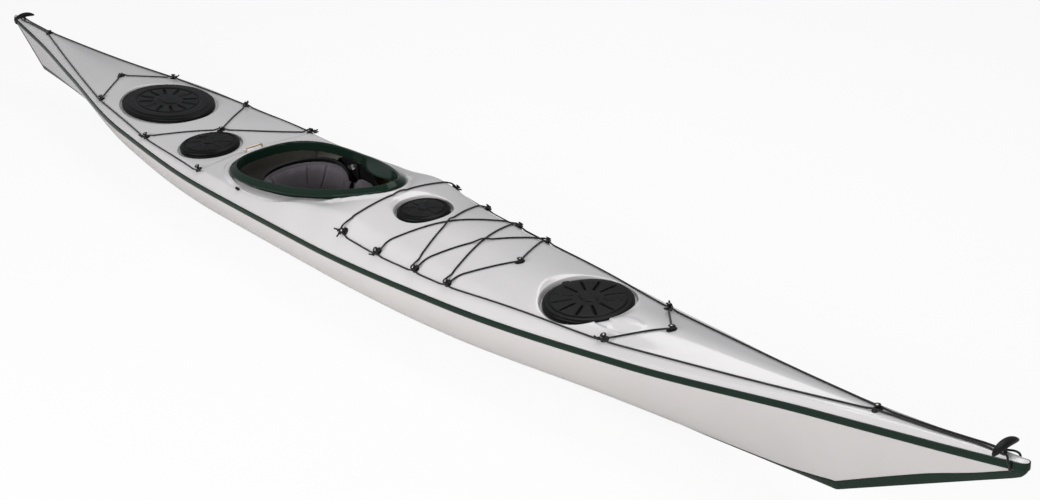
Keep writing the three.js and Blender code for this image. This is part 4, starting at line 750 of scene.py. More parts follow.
def cockpit_lip(hole, turn_at, edge_z):
    """Rings that turn up to the coaming's flange, run in under it and down inside."""
    lip = coaming_top(hole[:, 0]) - LIP_DROP
    base_z = np.minimum(edge_z, lip - 0.002)
    rings = []
    for s in np.linspace(0.2, 1, 5) * QUARTER:
        z = base_z + np.minimum(0.007, (lip - base_z) * 0.6) * (1 - math.cos(s))
        rings.append(raised(coaming_outline(turn_at, LIP_INSET + LIP_TURN * math.sin(s)), z))
    for inset, height in ((LIP_TOP, lip), (FLANGE - 0.0004, lip), (FLANGE - 0.0004, base_z - 0.006)):
        rings.append(raised(coaming_outline(turn_at, inset), height))
    return rings


def hatch_well(hatch, turn_at, edge_z):
    """Rings down a hatch's well: fillet, wall, foot, floor, and back under the floor."""
    floor = hatch["top"] - hatch["height"]
    rings = []
    for s in np.linspace(0.2, 1, 5) * QUARTER:
        z = edge_z - np.minimum(WELL_EDGE, (edge_z - floor) * 0.45) * (1 - math.cos(s))
        rings.append(raised(oval(hatch, turn_at, WELL_MARGIN + WELL_EDGE * (1 - math.sin(s))), z))
    bend = np.minimum(WELL_BEND, (rings[-1][:, 2] - floor) * 0.45)
    for s in np.linspace(0, 1, 4) * QUARTER:
        z = floor + bend * (1 - math.sin(s))
        rings.append(raised(oval(hatch, turn_at, WELL_MARGIN - WELL_BEND * (1 - math.cos(s))), z))
    for outset, height in ((0.0, floor), (-WELL_SEAT, floor), (-WELL_SEAT, floor - SHELL),
                           (WELL_MARGIN + 0.002, floor - SHELL)):
        rings.append(raised(oval(hatch, turn_at, outset), np.full(len(turn_at), height)))
    return rings


def deck_lining(points):
    """The inner skin under some points: the same plan drawn in a little, one wall lower."""
    low = points.copy()
    low[..., 1] *= 1 - 1.2 * SHELL / np.maximum(half_breadth(points[..., 0]), 0.02)
    low[..., 2] -= SHELL
    return low


def add_hole(shape, name, rim):
    """Fills a block from its rim to the hole, and adds what the hole's edge turns into."""
    cockpit = name == "cockpit"
    hole, turn_at = cockpit_hole(rim) if cockpit else hatch_hole(HATCHES[name], rim)
    t = (np.linspace(0, 1, 17 if cockpit else 13) ** 0.8)[:, None, None]
    flat = rim[None, :, :2] * (1 - t) + hole[None] * t
    patch = raised(flat, deck_surface(flat[..., 0], flat[..., 1]))
    patch[0] = rim
    edge_z = patch[-1][:, 2]
    more = cockpit_lip(hole, turn_at, edge_z) if cockpit else hatch_well(HATCHES[name], turn_at, edge_z)
    full = np.concatenate([patch, np.array(more)])
    # At the cockpit the lip rings take the green finish: the riser's own green, and painted shade where the deck
    # turns up under the flange
    split = len(patch) - 1 if cockpit else len(full) - 1
    shape.grid(full[:split + 1], 0, loop_columns=True)
    if cockpit:
        shape.grid(full[split:], 2, loop_columns=True)
    lower = deck_lining(patch)
    shape.grid(lower, 1, loop_columns=True)
    shape.grid(np.stack([full[-1], lower[-1]]), 1, loop_columns=True)


def build_deck():
    """Outer and inner skins on one plan. Round each hole the grid's block is bent into rings that run from
    the block's straight sides to the hole's edge, then up to the coaming's flange, or down a hatch's well."""
    x = stations(0.016, 0.0065, [
        (-1.52, -0.97), (-0.90, -0.53), (-0.5299, 0.3701), (0.39, 0.625), (1.12, 1.58)])
    lines = 53
    v = np.linspace(-1, 1, lines)
    scale = tip_scale(x)
    edge_in = half_breadth(x) - gunwale_inset(x)
    rounding = np.minimum(1, edge_in / NARROW)
    radius = EDGE_RADIUS * rounding
    grid_x, grid_v = np.meshgrid(x, v, indexing="ij")
    base = np.stack([grid_x, grid_v * (edge_in - radius)[:, None] * scale[:, None]], -1)
    unscaled = base[..., 1] / np.maximum(scale, 1e-3)[:, None]
    top = raised(base, deck_surface(grid_x, unscaled))
    keep = np.ones((len(x) - 1, lines - 1), bool)
    shape = Shape()
    for name, (x0, x1, v0, v1) in BLOCKS.items():
        i0, i1 = np.searchsorted(x, (x0, x1))
        j0, j1 = np.searchsorted(v, (v0 - 1e-9, v1 - 1e-9))
        keep[i0:i1, j0:j1] = False
        around = block_rim(i0, i1, j0, j1)
        add_hole(shape, name, top[around[:, 0], around[:, 1]])
    low = deck_lining(top)
    faces = grid_faces(len(x), lines).reshape(len(x) - 1, lines - 1, 4)[keep]
    shape.add(top.reshape(-1, 3), faces + shape.count, 0)
    shape.add(low.reshape(-1, 3), faces + shape.count, 1)
    # the rounded edge down to the seam, on both sides
    edge_z, foot_z = seam_height(x) + gunwale_rise(x), seam_height(x) + 0.001
    for sign, column in ((-1, 0), (1, -1)):
        start = top[:, column]
        rows = [start]
        for a in np.array([0.3, 0.65, 1.0]) * QUARTER:
            y = edge_in - radius * (1 - math.sin(a))
            z = start[:, 2] - radius * (1 - math.cos(a)) * 0.9
            rows.append(np.stack([x, sign * y * scale, np.minimum(z, edge_z + 0.001)], -1))
        rows.append(np.stack([x, sign * half_breadth(x) * scale, foot_z], -1))
        rows.append(np.stack([x, sign * (half_breadth(x) - SHELL * rounding) * scale, foot_z], -1))
        rows.append(low[:, column])
        shape.grid(np.stack(rows, 1), 0)
    for end in (0, -1):
        shape.fan(np.concatenate([top[end], low[end][::-1]]))
    shape.build("deck_skin", [DECK_WHITE, LAMINATE, GREEN], replaces=["deck_shell"], slot="deck_gelcoat",
                merge=2e-5)


build_deck()


# Green trim -----------------------------------------------------------------------------------------
def build_band():
    """A flat moulding with rounded edges round the seam."""
    x = stations(0.02, 0.01, [(-2.7, -2.6), (2.6, 2.7)])
    y = half_breadth(x) * tip_scale(x)
    loop = np.concatenate([np.stack([x, y], -1), np.stack([x, -y], -1)[::-1]])
    along = np.roll(loop, -1, 0) - np.roll(loop, 1, 0)
    out = unit(np.stack([-along[:, 1], along[:, 0]], -1))
    half = BAND_HEIGHT / 2
    lx = loop[:, 0]
    lean = gunwale_inset(lx) * np.minimum(1, half / gunwale_rise(lx)) * tip_scale(lx) * out[:, 1] ** 2
    gap = 0.0006
    face, edge = gap + TRIM, gap + TRIM * 0.7
    section = [(gap, -half), (edge, -half + 0.0002), (face, -half + 0.0012), (face, -0.002),
               (face, half * 0.6), (face, half - 0.0012), (edge, half - 0.0002), (gap, half)]
    rings = []
    for offset, rise in section:
        away = offset - lean * max(rise, 0) / half
        rings.append(np.stack([lx + out[:, 0] * away, loop[:, 1] + out[:, 1] * away, seam_height(lx) + rise], -1))
    inner = [np.stack([lx - out[:, 0] * 0.001, loop[:, 1] - out[:, 1] * 0.001, seam_height(lx)], -1)]
    points = np.stack(rings + inner, 1)
    Shape().grid(points, loop_rows=True, loop_columns=True).build(
        "seam_moulding", [GREEN], replaces=["seam_band"], slot="green_gelcoat", merge=0)


strip_height = smooth_curve([
    (-1, 0.6), (HEEL, 0.85), (-0.7, 0.5), (-0.4, 0.25), (0.4, 0.25), (0.66, 0.16), (0.74, 0.30), (0.785, 0.80),
    (FOREFOOT_AT, 1.15), (0.9, 1.30), (0.96, 0.95), (1, 1.0)], 0.024)


def build_keel_strip():
    """Green strip that wraps the keel and the stems, following the hull's own section."""
    x = slot_stations(stations(0.018, 0.008, STEM_BENDS))
    x_end = HALF_LENGTH - TIP_RADIUS + 0.004
    x = x[np.abs(x) <= x_end]
    turns = np.linspace(0, 1, 120) * math.pi / 2
    y, z = hull_section(x[:, None], turns[None, :])
    steps = np.hypot(np.diff(y, axis=1), np.diff(z, axis=1))
    girth = np.concatenate([np.zeros((len(x), 1)), np.cumsum(steps, 1)], 1)
    limit = np.minimum(keel_height(x) + strip_height(x), seam_height(x) - BAND_HEIGHT / 2 - 0.0006)
    widest = 0.026
    reach = np.array([min(np.interp(widest, yy, gg) if yy[-1] > widest else 9, np.interp(lim, zz, gg))
                      for yy, zz, gg, lim in zip(y, z, girth, limit)])
    share = np.linspace(0, 1, 9)
    rows = []
    for thick in (TRIM, 0.0):
        line = []
        for k, here in enumerate(x):
            at = reach[k] * share
            yy, zz = np.interp(at, girth[k], y[k]), np.interp(at, girth[k], z[k])
            dy, dz = np.gradient(yy), np.gradient(zz)
            length = np.hypot(dy, dz) + 1e-12
            fade = np.clip((x_end - abs(here)) / 0.020, 0.04, 1) ** 0.5
            zz = np.maximum(zz, float(keel_height(here) + tip_rise(here)))
            grow = (thick * fade + FIT) * np.where(share > 0.97, 0.3, 1.0)
            line.append(np.stack([np.full(len(share), here), yy + dz / length * grow, zz - dy / length * grow], -1))
        rows.append(np.array(line))
    outer, inner = (with_keel_line(row, slot_width(x)) for row in rows)
    ring = np.concatenate([outer, inner[:, ::-1]], 1)
    shape = Shape()
    for side in (1, -1):
        half = ring * [1, side, 1]
        shape.grid(half, flip=side < 0)
        shape.caps(half)
    cut = slice(np.searchsorted(x, SLOT_FROM - SLOT_PAIR / 2), np.searchsorted(x, SLOT_TO + SLOT_PAIR / 2))
    for side in (1, -1):
        wall = np.stack([ring[cut, -1], ring[cut, 0]], 1) * [1, side, 1]
        shape.grid(wall, flip=side < 0)
    shape.build("keel_moulding", [GREEN], replaces=["keel_strip"], slot="green_gelcoat", merge=1e-5)


def build_coaming():
    """The coaming's section, a rolled flange over a deep riser, carried round the keyhole."""
    turn = np.linspace(-math.pi, math.pi, 361)[:-1]
    x = coaming_outline(turn)[:, 0]
    wing = brace_share(x)
    top = coaming_top(x)
    section = [  # inset, height, share of the wing's width, share of its drop
        (0.0000, -0.0068, 0, 0), (0.0001, -0.0034, 0, 0), (0.0007, -0.0014, 0, 0), (0.0022, 0.0002, 0, 0),
        (0.0070, 0.0030, 0, 0), (0.0120, 0.0057, 0, 0), (0.0170, 0.0083, 0, 0), (0.0205, 0.0100, 0, 0),
        (0.0232, 0.0108, 0, 0), (0.0256, 0.0102, 0, 0), (0.0272, 0.0082, 0.02, 0), (0.0280, 0.0045, 0.08, 0.05),
        (0.0281, -0.0020, 0.26, 0.2), (0.0282, -0.0100, 0.58, 0.5), (0.0283, -0.0180, 0.88, 0.9),
        (0.0283, -0.0222, 0.99, 1), (0.0278, -0.0248, 1.01, 1), (0.0262, -0.0258, 1, 1),
        (0.0246, -0.0248, 0.98, 1), (0.0241, -0.0215, 0.9, 0.9), (0.0240, -0.0130, 0.6, 0.5),
        (0.0240, -0.0060, 0.2, 0.2), (0.0240, 0.0010, 0, 0), (0.0130, -0.0045, 0, 0), (0.0034, -0.0094, 0, 0),
        (0.0012, -0.0092, 0, 0)]
    rings = []
    for inset, height, wide, drop in section:
        place = coaming_outline(turn, inset + BRACE_REACH * wing * wide)
        rings.append(raised(place, top + height - 0.003 * wing * drop))
    Shape().grid(np.stack(rings, 1), loop_rows=True, loop_columns=True).build(
        "coaming_rim", [GREEN], replaces=["cockpit_coaming"], slot="green_gelcoat", merge=0, sharp=50)


build_band()
build_keel_strip()
build_coaming()


# Hatch lids ------------------------------------------------------------------------------------------
LID_ROLL = 0.010        # radius of the lids' rolled edge
LID_THICK = 0.0125      # from a lid's top to its underside


def lid_relief(name, hatch, s, a, dx, dy):
    """Height over the lid's top plane at shares s of its radius and turns a: a domed ring with a rolled edge,
    a panel with radial slots or ribs, and a boss. dx and dy are the same places, from the lid's centre."""
    wide, panel, ribs = hatch["wide"], hatch["panel"], hatch["ribs"]
    aft, big = name == "aft", name in ("fore", "aft")
    boss = 0.27 if big else 0.22
    z = -0.0030 * s ** 4
    roll = np.clip((s * wide - wide + LID_ROLL) / LID_ROLL, 0, 1)
    z -= 0.0085 * (1 - np.sqrt(np.maximum(1 - roll ** 2, 0)))
    edge = (s - panel) * wide
    z -= 0.0016 * bell(edge, 0.0018)
    z += 0.0018 * smooth_step(-edge / 0.004)
    if aft:
        z += 0.0030 * smooth_step((0.90 - s) * wide / 0.006) * smooth_step(edge / 0.010)
        z -= 0.0010 * bell((s - 0.90) * wide, 0.0012)
    swing = np.abs((a * ribs / math.tau + 0.5) % 1 - 0.5) * math.tau / ribs
    across = swing * s * wide
    if big:
        # radial slots with a raised edge
        first, last = (boss + 0.045, panel - 0.035) if aft else (boss + 0.08, panel - 0.045)
        slot, lip = (0.0046, 0.0064) if aft else (0.0030, 0.0046)
        band = smooth_step((s - first) / 0.02) * smooth_step((last - s) / 0.02)
        z -= 0.0062 * np.exp(-(across / slot) ** 4) * band
        z += 0.0010 * bell(across - lip, 0.0012) * band
    else:
        # radial ribs, one or two rings and a groove inside the rim
        band = smooth_step((s - boss - 0.03) / 0.02) * smooth_step((panel - 0.01 - s) / 0.02)
        z += 0.0016 * bell(across, 0.0016) * band
        for ring in (0.42, 0.60) if name == "day" else (0.52,):
            z += 0.0007 * bell((s - ring) * wide, 0.0013)
        z += 0.0022 * smooth_step((s - 0.86) * wide / 0.003)
        z -= 0.0022 * bell((s - 0.845) * wide, 0.0016)
    # the boss, with a groove round it and a dimple in its middle
    out = np.hypot(s * np.cos(a) / boss, s * np.sin(a) / (boss * 0.62)) if big else s / boss
    z += 0.0024 * smooth_step((1 - out) / 0.08)
    z -= 0.0012 * bell((out - 0.80) * wide * boss, 0.0013)
    z -= 0.0018 * bell(out * wide * boss, 0.0035)
    if name == "day":
        # a flat pad near the lid's aft edge
        z += 0.0036 * smooth_step(1.30 - np.hypot((dx + 0.076) / 0.021, (dy - 0.012) / 0.029))
    return z


def build_lid(name, hatch):
    """The lid's top as a polar height map, its gripped side in rings, and a flat underside."""
    turns = np.linspace(0, math.tau, 481)[:-1]
    share = np.concatenate([np.linspace(0, 0.9, 84), np.linspace(0.904, 1, 18)])
    s, a = np.meshgrid(share, turns, indexing="ij")
    wide, long, top, (cx, cy) = hatch["wide"], hatch["long"], hatch["top"], hatch["centre"]
    px = cx + (s * wide + (long - wide) * s) * np.cos(a)
    py = cy + s * wide * np.sin(a)
    upper = np.stack([px, py, top + lid_relief(name, hatch, s, a, px - cx, py - cy) - FIT], -1)
    floor, under = top - hatch["height"] + 0.0012, top - LID_THICK
    rim_z = upper[-1, :, 2]

    def ring(inset, height):
        return raised(oval(hatch, turns, -inset), np.broadcast_to(height, turns.shape))
    side = [ring(inset, floor + (rim_z - floor) * rise) for inset, rise in (
        (0.0004, 0.90), (0.0012, 0.80), (0.0030, 0.74), (0.0034, 0.66), (0.0018, 0.58), (0.0003, 0.48),
        (0.0002, 0.30), (0.0006, 0.12))]
    side += [ring(0.0014, floor), ring(0.0040, floor), ring(0.0040, under)]
    inner = [ring(wide * (1 - k), under) for k in (0.9, 0.5, 0.12)]
    shape = Shape()
    shape.grid(np.concatenate([upper[1:], np.array(side), np.array(inner)]), loop_columns=True)
    shape.fan(upper[1], upper[0, :1])
    shape.fan(inner[-1], flip=True)
    if name == "fore":
        angle = math.radians(168)
        build_tab(shape, cx + long * math.cos(angle), cy + wide * math.sin(angle), angle, top - 0.008)
    shape.build("lid_" + name, [LID_RUBBER], body=name + "_hatch_lid", replaces=["hatch_lid_" + name],
                slot="hatch_rubber", merge=1e-6, sharp=60)


def build_tab(shape, x, y, angle, z):
    """A flat tongue with a round end that points away from the lid."""
    t = np.linspace(0, 1, 9)
    width = 0.011 * np.sqrt(np.clip(1 - (t * 0.96) ** 4, 0, 1))
    out = 0.011 * t - 0.003
    c, s = math.cos(angle), math.sin(angle)
    ring = []
    for side, rise in ((-1, -0.0015), (1, -0.0015), (1, 0.0015), (-1, 0.0015)):
        ring.append(np.stack([x + out * c - side * width * s, y + out * s + side * width * c,
                              np.full(len(t), z + rise)], -1))
    grid = np.stack(ring, 1)
    shape.grid(grid, loop_columns=True)
    shape.caps(grid)


def build_neck(name, hatch):
    """The neck under a lid: a wall with a rounded lip, its seat on the deck, and for the pod a closed cup."""
    turns = np.linspace(0, math.tau, 145)[:-1]
    floor, top, neck = hatch["top"] - hatch["height"], hatch["top"], -0.006
    lip, seat = top - LID_THICK - FIT, floor + FIT
    edge = [(-0.004, lip - 0.001), (-0.0034, lip - 0.0002), (-0.0008, lip - 0.0002), (0, lip - 0.001)]
    if name == "pod":
        bottom = floor - 0.120
        profile = [(-0.012, bottom + 0.0036), (-0.007, bottom + 0.0050), (-0.0045, bottom + 0.009), *edge,
                   (0, seat), (-0.002, seat), (-0.002, bottom + 0.008), (-0.0045, bottom + 0.002), (-0.010, bottom)]
    else:
        low = floor - SHELL - 0.014
        profile = [(-0.004, low + 0.0006), *edge, (0, seat + 0.0045), (0.0012, seat + 0.004),
                   (0.0015, seat + 0.003), (0, seat + 0.002), (0, seat), (-0.002, seat), (-0.002, low)]
    rings = np.array([raised(oval(hatch, turns, neck + off), np.full(len(turns), z)) for off, z in profile])
    shape = Shape()
    if name == "pod":
        shape.grid(rings, loop_columns=True)
        shape.fan(rings[-1], flip=True)
        shape.fan(rings[0])
    else:
        shape.grid(rings, loop_rows=True, loop_columns=True)
    shape.build("neck_" + name, [BLACK_PLASTIC], replaces=["pod_cup" if name == "pod" else "hatch_rim_" + name],
                slot="black_plastic", merge=1e-6, sharp=40)


for hatch_name, hatch_sizes in HATCHES.items():
    build_lid(hatch_name, hatch_sizes)
    build_neck(hatch_name, hatch_sizes)


# Cords, knots and the fittings that hold them --------------------------------------------------------
ROPE = 0.00275          # radius of the cords
KNOT = 0.0052           # radius of a knot
POST_GAP = 0.00885      # from a post's middle to the middle of a cord beside it
CORD_REST = 0.0031      # height of a cord's middle where it lies on the deck
GRIP_HEIGHT = 0.0108    # height of an elastic at its posts
SADDLE_SQUASH = 0.74    # height of the centre fittings, as a share of the others'


class Post:
    """A fitting's place on the deck: its foot and the deck's own upright there."""

    def __init__(self, x, y):
        self.x, self.y = x, y
        self.base = above_deck(x, y, 0.0)
        self.up = deck_normal(x, y)

    def over(self, dx, dy, height):
        """A point beside the post by a plan offset laid in the deck's tilt, at a height above it."""
        if self.y == 0:
            height = height * SADDLE_SQUASH
        offset = np.array([dx, dy, 0.0])
        flat = offset - self.up * offset.dot(self.up)
        size = np.linalg.norm(flat)
        if size > 0:
            flat *= np.linalg.norm(offset) / size
        return self.base + flat + self.up * height


# Places of the fittings along the boat, as shares of half its length
FORE_SHARES = [0.5473, 0.3225, 0.2676, 0.2007, 0.1375]
AFT_SHARES = [-0.2066, -0.3693, -0.5532]
CENTRE_SHARES = [0.8503, 0.5978, 0.362, -0.2998, -0.6062, -0.8607]


def side_posts(side):
    """One side's posts from the bow to the stern, each set in from the boat's edge."""
    places = [(s * HALF_LENGTH, 0.047) for s in FORE_SHARES] + [(s * HALF_LENGTH, 0.034) for s in AFT_SHARES]
    return [Post(x, side * (float(half_breadth(x)) - inset)) for x, inset in places]


PORT, STARBOARD = side_posts(1), side_posts(-1)
CENTRE = [Post(s * HALF_LENGTH, 0.0) for s in CENTRE_SHARES]


def smooth_path(points, pitch=0.0035):
    """Cubic through points with slopes from their neighbours, sampled at an even pitch."""
    p = np.array(points, float)
    p = p[np.concatenate([[True], np.linalg.norm(np.diff(p, axis=0), axis=1) > 1e-4])]
    s = lengths(p)
    slope = np.gradient(p, s, axis=0)
    at = np.linspace(0, s[-1], max(int(s[-1] / pitch), 3))
    i = np.clip(np.searchsorted(s, at, side="right") - 1, 0, len(s) - 2)
    return hermite(at[:, None], s[i][:, None], s[i + 1][:, None], p[i], p[i + 1], slope[i], slope[i + 1])


def tube(shape, path, radius=ROPE, sides=10):
    """Round tube along a path, with frames carried along it without twist."""
    tangent = unit(np.gradient(path, axis=0))
    side = np.cross(tangent[0], [0.1, 0.2, 1.0])
    sides_along = []
    for t in tangent:
        side = side - t * side.dot(t)
        side = side / np.linalg.norm(side)
        sides_along.append(side)
    first = np.array(sides_along)
    second = np.cross(tangent, first)
    turn = np.arange(sides) / sides * math.tau
    thick = np.broadcast_to(np.asarray(radius, float), (len(path),))[:, None, None]
    ring = first[:, None] * np.cos(turn)[None, :, None] + second[:, None] * np.sin(turn)[None, :, None]
    points = path[:, None] + ring * thick
    places = np.stack(np.broadcast_arrays(lengths(path)[:, None], (turn / math.tau)[None, :]), -1)
    shape.grid(points, loop_columns=True, places=places)
    shape.fan(points[0], path[:1] - tangent[:1] * thick[0] * 0.4, flip=True)
    shape.fan(points[-1], path[-1:] + tangent[-1:] * thick[-1] * 0.4)


def knot(shape, at, along):
    """An overhand knot pulled tight: a trefoil of the same cord, flat across the cord's run."""
    along = np.asarray(along, float) / np.linalg.norm(along)
    side = np.cross(along, [0, 0, 1.0])
    side /= np.linalg.norm(side)
    up = np.cross(side, along)
    t = np.linspace(0, math.tau, 64)
    x, y, z = np.sin(t) + 2 * np.sin(2 * t), np.cos(t) - 2 * np.cos(2 * t), -np.sin(3 * t)
    curl = KNOT / 3 * (x[:, None] * side + y[:, None] * along * 0.8 + 1.4 * z[:, None] * up)
    tube(shape, np.asarray(at) + curl, ROPE * 0.80, 8)


def deck_run(a, b, lift=0.0, cross=0.5, pinch=0.0):
    """Straight run in plan that lies on the deck, lifted over another cord or drawn in towards the ridge."""
    span = math.hypot(b[0] - a[0], b[1] - a[1])
    ramp = 0.030 / span
    t = np.linspace(ramp, 1 - ramp, max(int(span / 0.012), 3))
    x, y = a[0] + (b[0] - a[0]) * t, a[1] + (b[1] - a[1]) * t
    y = y * (1 - pinch * smooth_step(t / 0.16) * smooth_step((1 - t) / 0.12))
    bump = lift * bell((t - cross) * span, 0.022)
    return list(above_deck(x, y, CORD_REST + bump))


def round_post(at, before, after):
    """The turn of an elastic round a post between two others."""
    to_before = np.array([before.x - at.x, before.y - at.y])
    to_after = np.array([after.x - at.x, after.y - at.y])
    to_before /= np.linalg.norm(to_before)
    to_after /= np.linalg.norm(to_after)
    away = to_before + to_after
    if np.linalg.norm(away) < 0.05:
        away = np.array([0.0, -np.sign(at.y)])
    outward = math.atan2(-away[1], -away[0])
    turn = 1 if to_before[0] * to_after[1] - to_before[1] * to_after[0] > 0 else -1
    half = (math.pi - math.acos(np.clip(to_before.dot(to_after), -1, 1))) / 2
    angles = outward - turn * np.linspace(-1, 1, 7) * half
    return [at.over(POST_GAP * math.cos(a), POST_GAP * math.sin(a), GRIP_HEIGHT) for a in angles]


def elastic_end(at, other, hand):
    """An elastic's end: beside its post, through a knot and out to a short tail."""
    out = np.array([at.x - other.x, at.y - other.y])
    out /= np.linalg.norm(out)
    side = np.array([-out[1], out[0]]) * hand * POST_GAP

    def place(along, across, height):
        return at.over(out[0] * along + side[0] * across, out[1] * along + side[1] * across, height)
    knot_at = place(0.0135, 0.6, 0.0105)
    return knot_at, [place(-0.010, 1, GRIP_HEIGHT), place(0.004, 1, 0.0112), knot_at, place(0.020, 0.5, 0.0135),
                     place(0.025, 0.2, 0.0190)]


def crossing_share(a, b):
    """Share of the way from a to b where the run crosses the boat's middle."""
    return a.y / (a.y - b.y) if a.y * b.y < 0 else 0.5


def build_elastic(name, posts, node, lifts=(), hands=(1, -1), extra=None):
    """An elastic from post to post, knotted at both ends; extra is a second cord from one post to another."""
    shape = Shape()
    start_knot, start = elastic_end(posts[0], posts[1], hands[0])
    end_knot, end = elastic_end(posts[-1], posts[-2], hands[1])
    route = start[::-1]
    for i, at in enumerate(posts[1:]):
        before = posts[i]
        lift = lifts[i] if i < len(lifts) else 0.0
        route += deck_run((before.x, before.y), (at.x, at.y), lift, crossing_share(before, at))
        if i + 2 < len(posts):
            route += round_post(at, before, posts[i + 2])
    route += end
    tube(shape, smooth_path(route))
    knot(shape, start_knot, start[2] - start[0])
    knot(shape, end_knot, end[2] - end[0])
    if extra:
        first, last = extra
        knot_at, begin = elastic_end(first, last, 1)
        toward = np.array([first.x - last.x, first.y - last.y])
        toward *= POST_GAP / np.linalg.norm(toward)
        route = begin[::-1] + deck_run((first.x, first.y), (last.x, last.y)) + [last.over(*toward, GRIP_HEIGHT)]
        tube(shape, smooth_path(route))
        knot(shape, knot_at, begin[2] - begin[0])
    shape.build(name, [CORD_BLACK], replaces=[node], slot="black_cord", merge=0)


build_elastic("bungee_cockpit", [STARBOARD[4], PORT[4]], "elastic_fore_straight", hands=(-1, 1))
build_elastic("bungee_chart", [STARBOARD[3], PORT[2], STARBOARD[1], CENTRE[2], PORT[1], STARBOARD[2], PORT[3]],
              "elastic_fore_zigzag", lifts=(0, 0, 0, 0, 0.0066, 0.0066))
build_elastic("bungee_bow", [STARBOARD[0], CENTRE[1], PORT[0]], "elastic_bow")
build_elastic("bungee_stern", [STARBOARD[7], CENTRE[4], PORT[7]], "elastic_stern")
build_elastic("bungee_aft", [STARBOARD[6], CENTRE[3], PORT[5]], "elastic_aft", hands=(1, 1),
              extra=(PORT[6], CENTRE[3]))


LINE_HOLE = 0.035       # from either tip to the hole through it


def build_deck_line(name, sides, middle, toggle_x, node):
    """Perimeter line: outside its fittings, past the end saddle and the toggle, down to the stem's hole."""
    end = 1 if toggle_x > 0 else -1
    hole_x = end * (HALF_LENGTH - LINE_HOLE)
    seam, edge = float(seam_height(hole_x)), float(half_breadth(hole_x))
    rim = seam + float(gunwale_rise(hole_x))
    clear = edge + 0.0006 + TRIM + ROPE + 0.0012
    shape, halves = Shape(), []
    for sign in (-1, 1):
        posts = sides[sign]
        stops = [(p.x, p.y + sign * POST_GAP) for p in posts] + [(middle.x, sign * POST_GAP)]
        stops.append((toggle_x - end * 0.034, sign * POST_GAP))
        everyone = [*posts, middle]
        away = np.sign(posts[0].x - posts[1].x)
        knot_at = posts[0].over(away * 0.020, sign * POST_GAP, 0.0085)
        route = [posts[0].over(away * 0.036, sign * POST_GAP * 1.2, 0.015),
                 posts[0].over(away * 0.029, sign * POST_GAP, 0.011), knot_at]
        for k, at in enumerate(everyone):
            route.append(at.over(0, sign * POST_GAP, 0.006))
            route += deck_run(stops[k], stops[k + 1], pinch=0.40 if at is middle else 0)
        drop = [above_deck(toggle_x, sign * POST_GAP * 0.95, 0.004),
                np.array([hole_x - end * 0.012, sign * (edge - 0.001), rim + 0.005]),
                np.array([hole_x - end * 0.004, sign * (clear + 0.001), seam + 0.011]),
                np.array([hole_x, sign * clear, seam]), np.array([hole_x, sign * (clear - 0.001), seam - 0.0085]),
                np.array([hole_x, sign * (edge - 0.0015), seam - 0.0155])]
        halves.append(route + drop)
        knot(shape, knot_at, (1, 0, 0))
    tube(shape, smooth_path(halves[0] + halves[1][::-1]))
    shape.build(name, [CORD_BLACK], replaces=[node], slot="black_cord", merge=0)


BOW_TOGGLE, STERN_TOGGLE = HALF_LENGTH - 0.061, -HALF_LENGTH + 0.113
build_deck_line("line_fore", {1: PORT[4::-1], -1: STARBOARD[4::-1]}, CENTRE[0], BOW_TOGGLE, "fore_deck_line")
build_deck_line("line_aft", {1: PORT[5:], -1: STARBOARD[5:]}, CENTRE[5], STERN_TOGGLE, "aft_deck_line")


def upright_frame(up):
    """Axes of a fitting: forward along the deck, to port, and up."""
    forward = np.array([1.0, 0.0, 0.0])
    x = forward - up * np.dot(forward, up)
    x /= np.linalg.norm(x)
    return np.stack([x, np.cross(up, x), up])


def turned(profile, sides=28, stretch=(1.0, 1.0)):
    """Surface of revolution from (radius, height) pairs, as rings from foot to head."""
    turn = np.arange(sides) / sides * math.tau
    r, z = np.array(profile, float).T
    return np.stack([r[:, None] * np.cos(turn) * stretch[0], r[:, None] * np.sin(turn) * stretch[1],
                     np.broadcast_to(z[:, None], (len(r), sides))], -1)


def build_fitting(name, post, node, saddle):
    """Moulded fitting: a round foot, a waist for the line and a domed head with a socket screw.
    The centre ones are long low saddles."""
    frame_here = upright_frame(post.up)

    def lay(points):
        return points * [1, 1, SADDLE_SQUASH if saddle else 1.0] @ frame_here + post.base
    shape = Shape()
    body = lay(turned([
        (0.0128, -0.0035), (0.0130, 0.0004), (0.0126, 0.0014), (0.0112, 0.0021), (0.0075, 0.0028), (0.0053, 0.0042),
        (0.0049, 0.0068), (0.0049, 0.0125), (0.0056, 0.0142), (0.0080, 0.0150), (0.0091, 0.0157), (0.0093, 0.0166),
        (0.0088, 0.0177), (0.0074, 0.0184), (0.0046, 0.0187)]))
    shape.grid(body, loop_columns=True)
    shape.fan(body[0], flip=True)
    rim = lay(turned([(0.0046, 0.0187), (0.0041, 0.0183), (0.0040, 0.0168)]))
    shape.grid(rim, loop_columns=True)
    screw = lay(turned([(0.0040, 0.0168), (0.0039, 0.0182), (0.0034, 0.0186), (0.0019, 0.0187), (0.0018, 0.0172)]))
    shape.grid(screw, 1, loop_columns=True)
    shape.fan(screw[-1], finish=1)
    if saddle:
        across = lay(turned([(0.0005, -0.0030), (0.0150, -0.0030), (0.0155, 0.0010), (0.0146, 0.0032),
                             (0.0118, 0.0048), (0.0040, 0.0056)], 36, (0.78, 1.12)))
        shape.grid(across, loop_columns=True)
    shape.build(name, [FITTING_BLACK, STEEL], replaces=[node], slot="fitting_plastic", merge=0, sharp=50)


for number, (to_port, to_starboard) in enumerate(zip(PORT, STARBOARD), 1):
    build_fitting("eye_port_%d" % number, to_port, "deck_fitting_port_%d" % number, False)
    build_fitting("eye_starboard_%d" % number, to_starboard, "deck_fitting_starboard_%d" % number, False)
for number, in_centre in enumerate(CENTRE, 1):
    build_fitting("saddle_%d" % number, in_centre, "centre_fitting_%d" % number, True)


